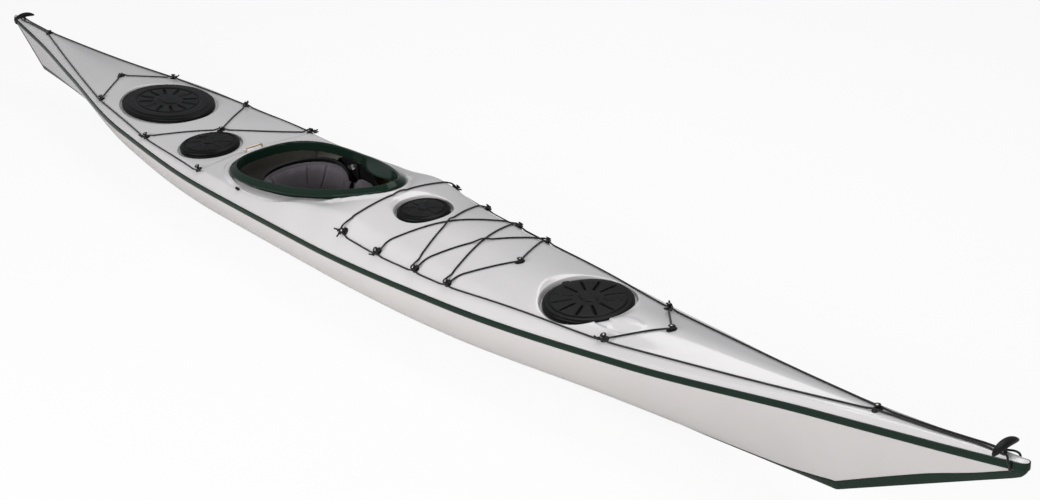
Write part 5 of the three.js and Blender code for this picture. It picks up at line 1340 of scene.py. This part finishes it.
def build_toggle(name, x, node, body):
    """Crescent grip, convex upwards: thick in its middle and thin at its tips, on a corded neck."""
    base = float(plain_deck(x, 0.0))
    t = np.linspace(-1, 1, 49)
    turn = np.arange(28) / 28 * math.tau
    t2, a2 = np.meshgrid(t, turn, indexing="ij")
    full = np.clip(1 - np.abs(t2) ** 2.4, 0, 1) ** 0.55
    wide = (0.0125 - 0.0035 * np.clip(-np.sin(a2), 0, 1)) * full + 0.0002
    tall = np.where(np.sin(a2) < 0, 0.0095, 0.0105) * full + 0.0002
    ridge = 1 - 0.10 * np.abs(np.cos(a2)) ** 6
    height = base + 0.0135 + 0.0110 * (1 - t2 * t2) + tall * np.sin(a2)
    grip = np.stack([x + wide * np.cos(a2) * ridge, t2 * 0.0480, height], -1)
    shape = Shape()
    shape.grid(grip, loop_columns=True)
    shape.caps(grip)
    neck = turned([(0.0049, 0.0016), (0.0045, 0.0030), (0.0042, 0.010), (0.0043, 0.018), (0.0052, 0.024)], 20) \
        + np.array([x, 0, base])
    shape.grid(neck, 1, loop_columns=True)
    shape.fan(neck[0], finish=1)
    shape.build(name, [TOGGLE_RUBBER, CORD_BLACK], body=body, replaces=[node], slot="toggle_rubber", merge=1e-5)


build_toggle("grip_bow", BOW_TOGGLE, "toggle_bow", "bow_toggle")
build_toggle("grip_stern", STERN_TOGGLE, "toggle_stern", "stern_toggle")


def build_security_bar():
    """Bent steel staple with a flange washer at each foot."""
    x, half, rise = -0.578, 0.035, 0.0135
    foot = float(plain_deck(x, half))
    bend = np.linspace(0, math.pi / 2, 9)
    r = 0.009
    corner = np.stack([np.full(9, x), half - r + r * np.cos(bend), foot + rise - r + r * np.sin(bend)], -1)
    leg = np.array([[x, half, foot - 0.005], [x, half, foot + 0.002]])
    one = np.concatenate([leg, corner])
    route = np.concatenate([one * MIRROR, [[x, 0, foot + rise]], one[::-1]])
    shape = Shape()
    tube(shape, smooth_path(route, 0.0015), 0.004, 18)
    for side in (-1, 1):
        washer = turned([(0.0042, 0.0022), (0.0068, 0.0020), (0.0074, 0.0010), (0.0075, -0.002)])
        shape.grid(washer + [x, side * half, float(deck_surface(x, side * half))], loop_columns=True)
    shape.build("lock_bar", [BRONZE], replaces=["security_bar"], slot="steel", merge=0)


build_security_bar()


# Skeg slider ----------------------------------------------------------------------------------------
TRACK_FROM, TRACK_TO, TRACK_Y, TRACK_WIDTH = -0.300, -0.150, -0.240, 0.012
KNOB_AT = 0.022         # the knob at rest, from the track's aft end


def track_axes():
    """The track's aft end, its length, and its axes: along, across and up from the plain deck."""
    base, end = (np.array([x, TRACK_Y, float(plain_deck(x, TRACK_Y))]) for x in (TRACK_FROM, TRACK_TO))
    length = np.linalg.norm(end - base)
    along = (end - base) / length
    h, mid_x = 0.004, (TRACK_FROM + TRACK_TO) / 2
    slope = np.array([-(plain_deck(mid_x + h, TRACK_Y) - plain_deck(mid_x - h, TRACK_Y)),
                      -(plain_deck(mid_x, TRACK_Y + h) - plain_deck(mid_x, TRACK_Y - h)), 2 * h])
    up = slope - along * slope.dot(along)
    up /= np.linalg.norm(up)
    return base, length, np.stack([along, np.cross(up, along), up])


TRACK_BASE, TRACK_LENGTH, TRACK_FRAME = track_axes()


def on_track(points):
    """Points given along, across and above the track, in the boat's own frame."""
    return points @ TRACK_FRAME + TRACK_BASE


def track_ring(inset, z):
    """The track's outline, a bar with round ends, drawn in by the inset, at a height."""
    turn = np.linspace(-math.pi / 2, math.pi / 2, 12)
    r = TRACK_WIDTH / 2 - inset
    right = np.stack([TRACK_LENGTH - TRACK_WIDTH / 2 + r * np.cos(turn), r * np.sin(turn)], -1)
    left = np.stack([TRACK_WIDTH / 2 - r * np.cos(turn), -r * np.sin(turn)], -1)
    ring = np.concatenate([right, left])
    return np.concatenate([ring, np.full((len(ring), 1), z)], 1)


def build_slider():
    """A long round-ended channel let into the deck's hollow, with a finger knob that runs along it."""
    shape = Shape()
    steps = [(0.0, -0.009), (0.0, -0.0037), (0.0006, -0.0030), (0.0028, -0.0030), (0.0034, -0.0036),
             (0.0034, -0.0080)]
    grid = on_track(np.array([track_ring(inset, z) for inset, z in steps]))
    shape.grid(grid, loop_columns=True)
    shape.fan(grid[-1])
    shape.fan(grid[0], flip=True)
    shape.build("skeg_channel", [DECK_WHITE], replaces=["skeg_slider_track"], slot="deck_gelcoat", merge=1e-6)
    knob = turned([(0.0014, -0.0040), (0.0014, -0.0012), (0.0050, -0.0010), (0.0056, 0.0002), (0.0055, 0.0055),
                   (0.0051, 0.0080), (0.0045, 0.0105), (0.0035, 0.0117), (0.0018, 0.0121)], 32)
    ridge = 1 + 0.05 * np.cos(np.arange(32) / 32 * math.tau * 8)
    knob[3:6, :, :2] *= ridge[None, :, None]
    knob = on_track(knob + [KNOB_AT, 0, 0])
    shape = Shape().grid(knob, loop_columns=True)
    shape.fan(knob[0], flip=True)
    shape.fan(knob[-1])
    shape.build("skeg_knob", [FITTING_BLACK], body="skeg_slider", replaces=["skeg_slider_knob"],
                slot="black_plastic")


build_slider()


# Seat and backrest ----------------------------------------------------------------------------------
BACK_CENTRE, BACK_DEPTH, BACK_HALF = -0.215, 0.155, 0.168
BACK_TURN = math.radians(100)
PAD_HALF, FRAME_HALF = 0.068, 0.0725
SIDES = ((-1, "starboard"), (1, "port"))


def back_curve(q, offset):
    """Plan of the backrest by share q from -1 to 1: half an ellipse, then straight arms; offset is outwards."""
    angle = q * BACK_TURN
    turn = np.clip(angle, -math.pi / 2, math.pi / 2)
    past = np.abs(angle) - np.abs(turn)
    out = unit(np.stack([-np.cos(turn) / BACK_DEPTH, np.sin(turn) / BACK_HALF], -1))
    x = BACK_CENTRE - BACK_DEPTH * np.cos(turn) + past * 0.16
    y = BACK_HALF * np.sin(turn)
    return np.stack([x, y], -1) + out * np.asarray(offset)[..., None]


def inflate(piece, cap):
    """Remeshes a pad evenly and swells it with simulated cloth, then caps how far any point has moved."""
    remesh = piece.modifiers.new("remesh", "REMESH")
    remesh.mode, remesh.voxel_size = "VOXEL", 0.0045
    bpy.context.view_layer.objects.active = piece
    bpy.ops.object.select_all(action="DESELECT")
    piece.select_set(True)
    bpy.ops.object.modifier_apply(modifier="remesh")
    mesh = piece.data
    before = np.empty(len(mesh.vertices) * 3)
    mesh.vertices.foreach_get("co", before)
    cloth = piece.modifiers.new("cloth", "CLOTH")
    cloth.settings.use_pressure = True
    cloth.settings.uniform_pressure_force = 4.0
    cloth.settings.effector_weights.gravity = 0
    for number in range(1, 21):
        bpy.context.scene.frame_set(number)
    bpy.ops.object.modifier_apply(modifier="cloth")
    bpy.context.scene.frame_set(1)
    after = np.empty(len(mesh.vertices) * 3)
    mesh.vertices.foreach_get("co", after)
    before, after = before.reshape(-1, 3), after.reshape(-1, 3)
    move = after - before
    size = np.linalg.norm(move, axis=1, keepdims=True) + 1e-12
    after = before + move * np.minimum(1, cap / size)
    mesh.vertices.foreach_set("co", after.ravel())
    smooth = piece.modifiers.new("smooth", "SUBSURF")
    smooth.levels, smooth.render_levels = 1, 1
    bpy.ops.object.modifier_apply(modifier="smooth")
    piece.data.shade_smooth()


def shift_points(piece, move):
    """Moves a piece's points by a function of their places."""
    mesh = piece.data
    places = np.empty(len(mesh.vertices) * 3)
    mesh.vertices.foreach_get("co", places)
    places = places.reshape(-1, 3)
    mesh.vertices.foreach_set("co", (places + move(places)).ravel())
    mesh.update()


def end_room(q):
    """Share of the backrest's half height left towards its round ends."""
    return np.clip(1 - np.abs(q) ** 4.5, 0, 1) ** (1 / 2.4)


def back_edges(q, half):
    """Lower and upper edge of the backrest's bean outline, from its half height in the middle."""
    middle = 0.150 + 0.006 * np.abs(q) ** 2
    reach = (half - 0.010 * np.abs(q) ** 2) * end_room(q * 0.999)
    return middle - reach, middle + reach


def build_back_pad():
    """Crowned pad of three panels, with curved sewn channels and a rolled edge."""
    q = np.linspace(-1, 1, 181)
    p = np.linspace(-1, 1, 41)
    q2, p2 = np.meshgrid(q, p, indexing="ij")
    low, high = back_edges(q2, PAD_HALF)
    swell = np.clip(1 - np.abs(p2) ** 4, 0, 1) ** 0.5 * np.clip(1 - np.abs(q2) ** 12, 0, 1) ** 0.5
    thick = 0.004 + 0.016 * swell
    z = low + (high - low) * (p2 + 1) / 2
    face, rear = (raised(back_curve(q2, offset), z) for offset in (-thick, np.full_like(q2, -0.0006)))
    ring = np.concatenate([face, rear[:, ::-1][:, 1:-1]], 1)
    shape = Shape().grid(ring, loop_columns=True)
    shape.caps(ring)
    piece = shape.build("back_pad", [SEAT_FOAM], body="backrest", replaces=["backrest_pad"], slot="seat_foam",
                        merge=2e-5, sharp=180)
    inflate(piece, 0.0025)

    def carve(places):
        """Sewn channels, slanting up the pad, and a piped line round its edge; the rear stays as it is."""
        angle = np.arctan2(places[:, 1] / BACK_HALF, -(places[:, 0] - BACK_CENTRE) / BACK_DEPTH)
        q = angle / BACK_TURN
        half = PAD_HALF - 0.010 * np.minimum(np.abs(q), 1) ** 2
        p = (places[:, 2] - 0.150 - 0.006 * q * q) / half
        plan = back_curve(np.clip(q, -1, 1), 0.0)
        front = smooth_step((np.hypot(*(places[:, :2] - plan).T) - 0.004) / 0.004)
        room = end_room(q)
        deep = np.zeros(len(places))
        for at, slant in ((-0.53, 0.10), (-0.285, 0.03), (0.285, 0.03), (0.53, 0.10)):
            line = at + np.sign(at) * slant * (p - 0.3 * p * p)
            deep += 0.0062 * bell(q - line, 0.011) * smooth_step((0.93 * room - np.abs(p)) / 0.12)
        edge = np.abs(np.abs(p) / np.maximum(room, 0.05) - 0.83)
        deep = np.maximum(deep, 0.0028 * bell(edge, 0.028) * smooth_step((0.95 - np.abs(q)) / 0.05))
        inward = np.concatenate([plan - places[:, :2], np.zeros((len(places), 1))], 1)
        inward /= np.linalg.norm(inward, axis=1, keepdims=True) + 1e-9
        return inward * (deep * front)[:, None]
    shift_points(piece, carve)


def build_back_frame():
    """Black moulded shell behind the pad, with a thick rolled rim round it, side straps and buckles."""
    q = np.linspace(-1, 1, 181)
    low, high = back_edges(q, FRAME_HALF)
    mid, half = (low + high) / 2, (high - low) / 2 + 0.0008
    section = [(-0.0060, -1.000), (-0.0110, -1.030), (-0.0118, -1.075), (-0.0085, -1.115), (-0.0020, -1.125),
               (0.0040, -1.10), (0.0058, -1.04), (0.0052, -0.97),
               (0.0046, -0.6), (0.0046, 0.6), (0.0052, 0.97), (0.0058, 1.04), (0.0040, 1.10), (-0.0020, 1.125),
               (-0.0085, 1.115), (-0.0118, 1.075), (-0.0110, 1.030), (-0.0060, 1.000), (0.0, 0.97), (0.0, 0.6),
               (0.0, -0.6), (0.0, -0.97)]
    points = np.stack([raised(back_curve(q, np.full(len(q), offset)), mid + half * rise)
                       for offset, rise in section], 1)
    shape = Shape().grid(points, loop_columns=True)
    shape.caps(points)
    for side in (-1, 1):
        boss = turned([(0.013, 0.0), (0.0145, 0.002), (0.0145, 0.006), (0.012, 0.009), (0.0075, 0.0095)])
        outward = np.stack([boss[..., 0] - 0.300, side * (0.141 + boss[..., 2]), boss[..., 1] + 0.095], -1)
        shape.grid(outward, loop_columns=True)
    shape.build("back_shell", [BLACK_PLASTIC], body="backrest", replaces=["backrest_shell"], slot="black_plastic",
                merge=2e-5, sharp=50)


def ribbon(shape, path, width, thickness, across):
    """Webbing along a path: a thin band, wide along the given direction."""
    across = np.asarray(across, float)
    tangent = unit(np.gradient(path, axis=0))
    wide = unit(across - tangent * (tangent @ across)[:, None])
    thick = np.cross(tangent, wide)
    corners = [(-1, -0.5), (-0.96, -1), (0.96, -1), (1, -0.5), (1, 0.5), (0.96, 1), (-0.96, 1), (-1, 0.5)]
    points = np.stack([path + wide * a * width / 2 + thick * b * thickness / 2 for a, b in corners], 1)
    share = np.array([(a + 1) / 2 for a, _ in corners])
    places = np.stack(np.broadcast_arrays(lengths(path)[:, None], share[None, :]), -1)
    shape.grid(points, loop_columns=True, places=places)
    shape.caps(points)


def plate(shape, outline, side, inner, outer, round_off=0.0016):
    """A flat plate with rounded edges from an outline in x and z, standing at a distance from the middle."""
    outline = np.asarray(outline, float)
    along = np.roll(outline, -1, 0) - np.roll(outline, 1, 0)
    inward = np.stack([-along[:, 1], along[:, 0]], -1)
    inward /= np.linalg.norm(inward, axis=1, keepdims=True) + 1e-12
    centre = outline.mean(0)
    if ((centre - outline) * inward).sum() < 0:
        inward = -inward
    rings = []
    for draw, y in ((round_off, inner), (round_off * 0.3, inner + round_off * 0.3), (0, inner + round_off),
                    (0, outer - round_off), (round_off * 0.3, outer - round_off * 0.3), (round_off, outer)):
        flat = outline + inward * draw
        rings.append(np.stack([flat[:, 0], np.full(len(flat), side * y), flat[:, 1]], -1))
    shape.grid(np.array(rings), loop_columns=True)
    shape.fan(rings[0], flip=True)
    shape.fan(rings[-1])


def closed_path(points, spacing):
    """Smooth closed outline through the given corners."""
    points = np.asarray(points, float)
    looped = np.concatenate([points[-3:], points, points[:3]])
    route = smooth_path(np.concatenate([looped, np.zeros((len(looped), 1))], 1), spacing)[:, :2]
    start = np.linalg.norm(route - points[0], axis=1).argmin()
    stop = len(route) - np.linalg.norm(route[::-1] - points[0], axis=1).argmin() - 1
    return route[start:stop] if stop > start else route


def build_hip_plates():
    """Side plates of the seat that hang from the deck, each with a post, a strap and a steel ladder buckle."""
    for side, name in SIDES:
        shape = Shape()
        outline = [(-0.285, 0.150), (-0.284, 0.216), (-0.270, 0.2245), (-0.150, 0.2345), (-0.080, 0.2370),
                   (-0.062, 0.2300), (-0.046, 0.1980), (-0.018, 0.1720), (0.000, 0.1500), (-0.006, 0.1220),
                   (-0.060, 0.1050), (-0.200, 0.1000), (-0.270, 0.1050)]
        plate(shape, closed_path(outline, 0.004), side, 0.1785, 0.1835)
        post = [(-0.1565, 0.168), (-0.1565, 0.231), (-0.1545, 0.2345), (-0.1475, 0.2345), (-0.1455, 0.231),
                (-0.1455, 0.168), (-0.1475, 0.1645), (-0.1545, 0.1645)]
        plate(shape, post, side, 0.1720, 0.1790, 0.0022)
        stud = turned([(0.0070, 0.0), (0.0072, 0.003), (0.0060, 0.0055), (0.0030, 0.0065), (0.0006, 0.0067)], 24)
        shape.grid(np.stack([stud[..., 0] - 0.151, side * (0.1722 - stud[..., 2]), stud[..., 1] + 0.158], -1),
                   loop_columns=True)
        shape.build("hip_plate_" + name, [BLACK_PLASTIC], body="boat", slot="black_plastic", merge=1e-6, sharp=50)
        band = Shape()
        route = [(-0.246, side * 0.1758, 0.1900), (-0.222, side * 0.1768, 0.1985), (-0.196, side * 0.1772, 0.2080),
                 (-0.172, side * 0.1772, 0.2165), (-0.158, side * 0.1772, 0.2215)]
        ribbon(band, smooth_path(route, 0.002), 0.014, 0.0014, (-0.4, 0, 1.0))
        band.build("strap_" + name, [STRAP_BLACK], body="boat", slot="black_plastic", merge=0)
        buckle = Shape()
        centre = np.array([-0.184, side * 0.1748, 0.2115])
        bar_along, bar_up = np.array([-0.36, 0, 0.93]), np.array([0.93, 0, 0.36])
        corners = [(-1, -1), (0, -1.02), (1, -1), (1.06, 0), (1, 1), (0, 1.02), (-1, 1), (-1.06, 0)]
        loop = [centre + bar_along * a * 0.0090 + bar_up * b * 0.0060 for a, b in corners + corners[:2]]
        tube(buckle, smooth_path(loop, 0.0012), 0.0012)
        for shift in (-0.25, 0.35):
            bar = [centre + bar_up * shift * 0.0060 + bar_along * a * 0.009 for a in (-1, 0, 1)]
            tube(buckle, smooth_path(bar, 0.002), 0.0012)
        buckle.build("buckle_" + name, [STEEL], body="boat", slot="steel", merge=0)


def seat_floor(x, y, inset):
    """Height of the seat pan's floor, moved in along its wall, as far out as its side."""
    full = fullness(x)
    sine = np.minimum(np.abs(y) / (half_breadth(x) - SHELL), 1) ** (full / 2)
    low = keel_height(x) + SHELL * 1.6
    return seam_height(x) - (seam_height(x) - low) * np.sqrt(1 - sine * sine) ** (2 / full) + FIT + inset


# Height of the seat's sides
seat_side = smooth_curve([
    (-0.15722, 0.62), (-0.11393, 0.95), (-0.07604, 1), (-0.04088, 0.68), (-0.02194, 0.36)], 0.190)


def build_cushion():
    """Seat cushion: a crowned U that fills the pan and rises at its sides, with sewn channels along it."""
    x = np.linspace(-0.411, -0.079, 67)
    t = (x - x[0]) / (x[-1] - x[0])
    swell = np.clip(1 - np.abs(2 * t - 1) ** 5, 0, 1) ** 0.4
    side_y = 0.1845
    share = np.linspace(0, 1, 29)
    rings = []
    for at, full in zip(x, swell):
        y = share * side_y
        under = seat_floor(at, y, 0.0056)
        top = float(seat_side(at)) - 0.032
        climb = np.linspace(0.12, 1, 9)
        wall_z = under[-1] + (top - under[-1]) * climb
        outer = np.concatenate([np.stack([y, under], -1), np.stack([np.full(len(climb), side_y), wall_z], -1)])
        thick, wing = (most * (0.25 + 0.75 * full) for most in (0.018, 0.0115))
        lift = thick * (1 - 0.25 * share)
        for line in (0.30, 0.62):
            lift = lift - 0.006 * bell(share - line, 0.020) * full
        bend = smooth_step((share - 0.80) / 0.20)
        inner_floor = np.stack([y * (1 - wing * 1.1 / side_y), under + lift + 0.010 * bend ** 2], -1)
        round_top = np.clip(1 - climb ** 6, 0, 1) ** 0.5
        foot = inner_floor[-1, 1]
        inner_z = np.maximum(wall_z, foot + (top - foot) * climb)
        wall = np.stack([side_y - wing * (0.35 + 0.65 * round_top), inner_z], -1)
        half = np.concatenate([outer, wall[::-1], inner_floor[::-1]])
        mirror = half[1:-1][::-1] * [-1, 1]
        ring = np.concatenate([half, mirror])
        rings.append(np.concatenate([np.full((len(ring), 1), at), ring], 1))
    rings = np.array(rings)
    shape = Shape().grid(rings, loop_columns=True)
    for end in (0, -1):
        shape.add(rings[end], cap_faces(len(rings[end]), end == 0))
    piece = shape.build("seat_cushion", [SEAT_FOAM], body="boat", replaces=["seat_pad"], slot="seat_foam",
                        merge=2e-5, sharp=180)


def cap_faces(count, flip):
    """Quads that close a U-shaped end by joining each outer point to the inner point across from it."""
    half = count // 2
    i = np.arange(half - 1)
    quads = np.stack([i, i + 1, count - 2 - i, count - 1 - i], -1)
    return quads[:, ::-1] if flip else quads


def build_hip_pads():
    """A rounded thigh pad on each hip plate, with a piped edge and a stud."""
    for side, name in SIDES:
        turns = np.linspace(0, math.tau, 65)[:-1]
        rows = np.linspace(0, 1, 21)
        r2, a2 = np.meshgrid(rows, turns, indexing="ij")
        long = 0.068 * np.sign(np.cos(a2)) * np.abs(np.cos(a2)) ** 0.8
        tall = 0.050 * np.sign(np.sin(a2)) * np.abs(np.sin(a2)) ** 0.8
        crown = 0.0245 * np.clip(1 - r2 ** 4, 0, 1) ** 0.5 - 0.0030 * bell(r2 - 0.86, 0.025) \
            - 0.004 * bell(r2, 0.09)
        x, z = -0.099 + long * r2, 0.1340 + tall * r2
        face = np.stack([x, side * (0.1772 - crown), z], -1)
        back = np.stack([x, side * np.full_like(r2, 0.1778), z], -1)[::-1][1:]
        shape = Shape().grid(np.concatenate([face[1:], back[:-1]]), loop_columns=True)
        shape.fan(face[1], face[0, :1])
        shape.fan(back[-2], back[-1, :1], flip=True)
        piece = shape.build("hip_pad_" + name, [SEAT_FOAM], body="boat", slot="seat_foam", merge=2e-5, sharp=180)
        inflate(piece, 0.004)


build_back_pad()
build_back_frame()
build_hip_plates()
build_cushion()
build_hip_pads()


# CAD pieces that keep their form get broken edges ---------------------------------------------------
def eased(node, name, finish, width, body):
    """A copy of a CAD node's mesh with its doubles merged and its edges rounded, in the node's place."""
    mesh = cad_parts[node].data.copy()
    mesh.name = name
    merge_points(mesh, 1e-6)
    mesh.materials.clear()
    mesh.materials.append(finish)
    mesh.polygons.foreach_set("material_index", np.zeros(len(mesh.polygons), np.int32))
    piece = bpy.data.objects.new(name, mesh)
    bpy.context.scene.collection.objects.link(piece)
    bevel = piece.modifiers.new("edges", "BEVEL")
    crease = math.radians(32)
    bevel.width, bevel.segments, bevel.limit_method, bevel.angle_limit = width, 3, "ANGLE", crease
    bevel.harden_normals = True
    mesh.shade_smooth()
    mesh.set_sharp_from_angle(angle=crease)
    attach(piece, body)
    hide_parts(node)


for where, rider in (("port", "foot_peg_left"), ("starboard", "foot_peg_right")):
    eased("foot_peg_" + where, "pedal_" + where, BLACK_PLASTIC, 0.0018, rider)
    eased("footbrace_rail_" + where, "rail_" + where, ALUMINIUM, 0.0006, "boat")
eased("skeg_blade", "skeg_fin", BLACK_PLASTIC, 0.0012, "skeg")
eased("skeg_box", "skeg_case", BLACK_PLASTIC, 0.0010, "boat")
eased("seat_pan", "seat_shell", BLACK_PLASTIC, 0.0014, "boat")


# Camera, floor and light ------------------------------------------------------------------------------
def place_camera():
    """Camera fitted to the photograph: it looks down the boat from ahead and to starboard."""
    yaw, pitch, roll = math.radians(142.16), math.radians(25.6), math.radians(-3.9)
    look = np.array([math.cos(pitch) * math.cos(yaw), math.cos(pitch) * math.sin(yaw), -math.sin(pitch)])
    level = np.array([math.sin(yaw), -math.cos(yaw), 0.0])
    rise = np.cross(level, look)
    right = math.cos(roll) * level + math.sin(roll) * rise
    up = -math.sin(roll) * level + math.cos(roll) * rise
    data = bpy.data.cameras.new("camera")
    data.sensor_width, data.lens = 36.0, 54.07
    data.shift_x, data.shift_y = -0.0059, -0.0006
    data.clip_start, data.clip_end = 0.05, 60.0
    camera = bpy.data.objects.new("camera", data)
    matrix = np.eye(4)
    matrix[:3] = np.stack([right, up, -look, (4.304, -2.548, 2.336)], -1)
    camera.matrix_world = Matrix(matrix.tolist())
    bpy.context.scene.collection.objects.link(camera)
    bpy.context.scene.camera = camera


def area_light(name, place, target, width, depth, power):
    """A rectangular lamp that faces its target."""
    data = bpy.data.lights.new(name, "AREA")
    data.shape, data.size, data.size_y, data.energy = "RECTANGLE", width, depth, power
    lamp = bpy.data.objects.new(name, data)
    lamp.location = place
    lamp.rotation_euler = (Vector(target) - Vector(place)).to_track_quat("-Z", "Y").to_euler()
    bpy.context.scene.collection.objects.link(lamp)


def place_floor():
    """Pale floor that shows white to the camera and keeps a faint shadow."""
    f = Finish("pale_floor", Roughness=0.9, Specular_IOR_Level=0.1, Base_Color=(0.86, 0.855, 0.85))
    glow = f.nodes.new("ShaderNodeEmission")
    glow.inputs["Strength"].default_value = 1.0
    path = f.node("ShaderNodeLightPath")
    mixer = f.nodes.new("ShaderNodeMixShader")
    share = path * 0.90
    f.links.new(share.socket, mixer.inputs[0])
    f.links.new(f.shader.outputs[0], mixer.inputs[1])
    f.links.new(glow.outputs[0], mixer.inputs[2])
    f.links.new(mixer.outputs[0], f.nodes["Material Output"].inputs[0])
    mesh = bpy.data.meshes.new("floor")
    far = 30.0
    mesh.from_pydata([(-far, -far, 0), (far, -far, 0), (far, far, 0), (-far, far, 0)], [], [(0, 1, 2, 3)])
    mesh.materials.append(f.material)
    floor = bpy.data.objects.new("floor", mesh)
    floor.location = (0, 0, -0.002)
    bpy.context.scene.collection.objects.link(floor)


def light_world():
    """Even pale surroundings, plain white to the camera and to transmission rays."""
    world = bpy.data.worlds.new("studio")
    bpy.context.scene.world = world
    world.use_nodes = True
    nodes, links = world.node_tree.nodes, world.node_tree.links
    soft = nodes["Background"]
    soft.inputs[0].default_value = (0.95, 0.97, 1.0, 1)
    soft.inputs[1].default_value = 0.30
    white = nodes.new("ShaderNodeBackground")
    white.inputs[0].default_value = (1, 1, 1, 1)
    path = nodes.new("ShaderNodeLightPath")
    either = nodes.new("ShaderNodeMath")
    either.operation = "MAXIMUM"
    links.new(path.outputs["Is Camera Ray"], either.inputs[0])
    links.new(path.outputs["Is Transmission Ray"], either.inputs[1])
    mixer = nodes.new("ShaderNodeMixShader")
    links.new(either.outputs[0], mixer.inputs[0])
    links.new(soft.outputs[0], mixer.inputs[1])
    links.new(white.outputs[0], mixer.inputs[2])
    links.new(mixer.outputs[0], nodes["World Output"].inputs[0])


place_camera()
place_floor()
light_world()
area_light("overhead", (0.5, 1.2, 3.4), (0.2, 0, 0), 5.0, 1.6, 62)
area_light("side", (0.6, -4.6, 2.3), (0.2, 0, 0.2), 6.0, 1.8, 190)
area_light("bow", (6.0, -1.2, 1.8), (1.5, 0, 0.2), 2.0, 1.5, 45)
bpy.context.scene.view_settings.view_transform = "Standard"


# The bulkheads keep their own shape
for node in ("bulkhead_fore", "bulkhead_cockpit", "bulkhead_day"):
    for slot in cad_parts[node].material_slots:
        slot.material = LAMINATE
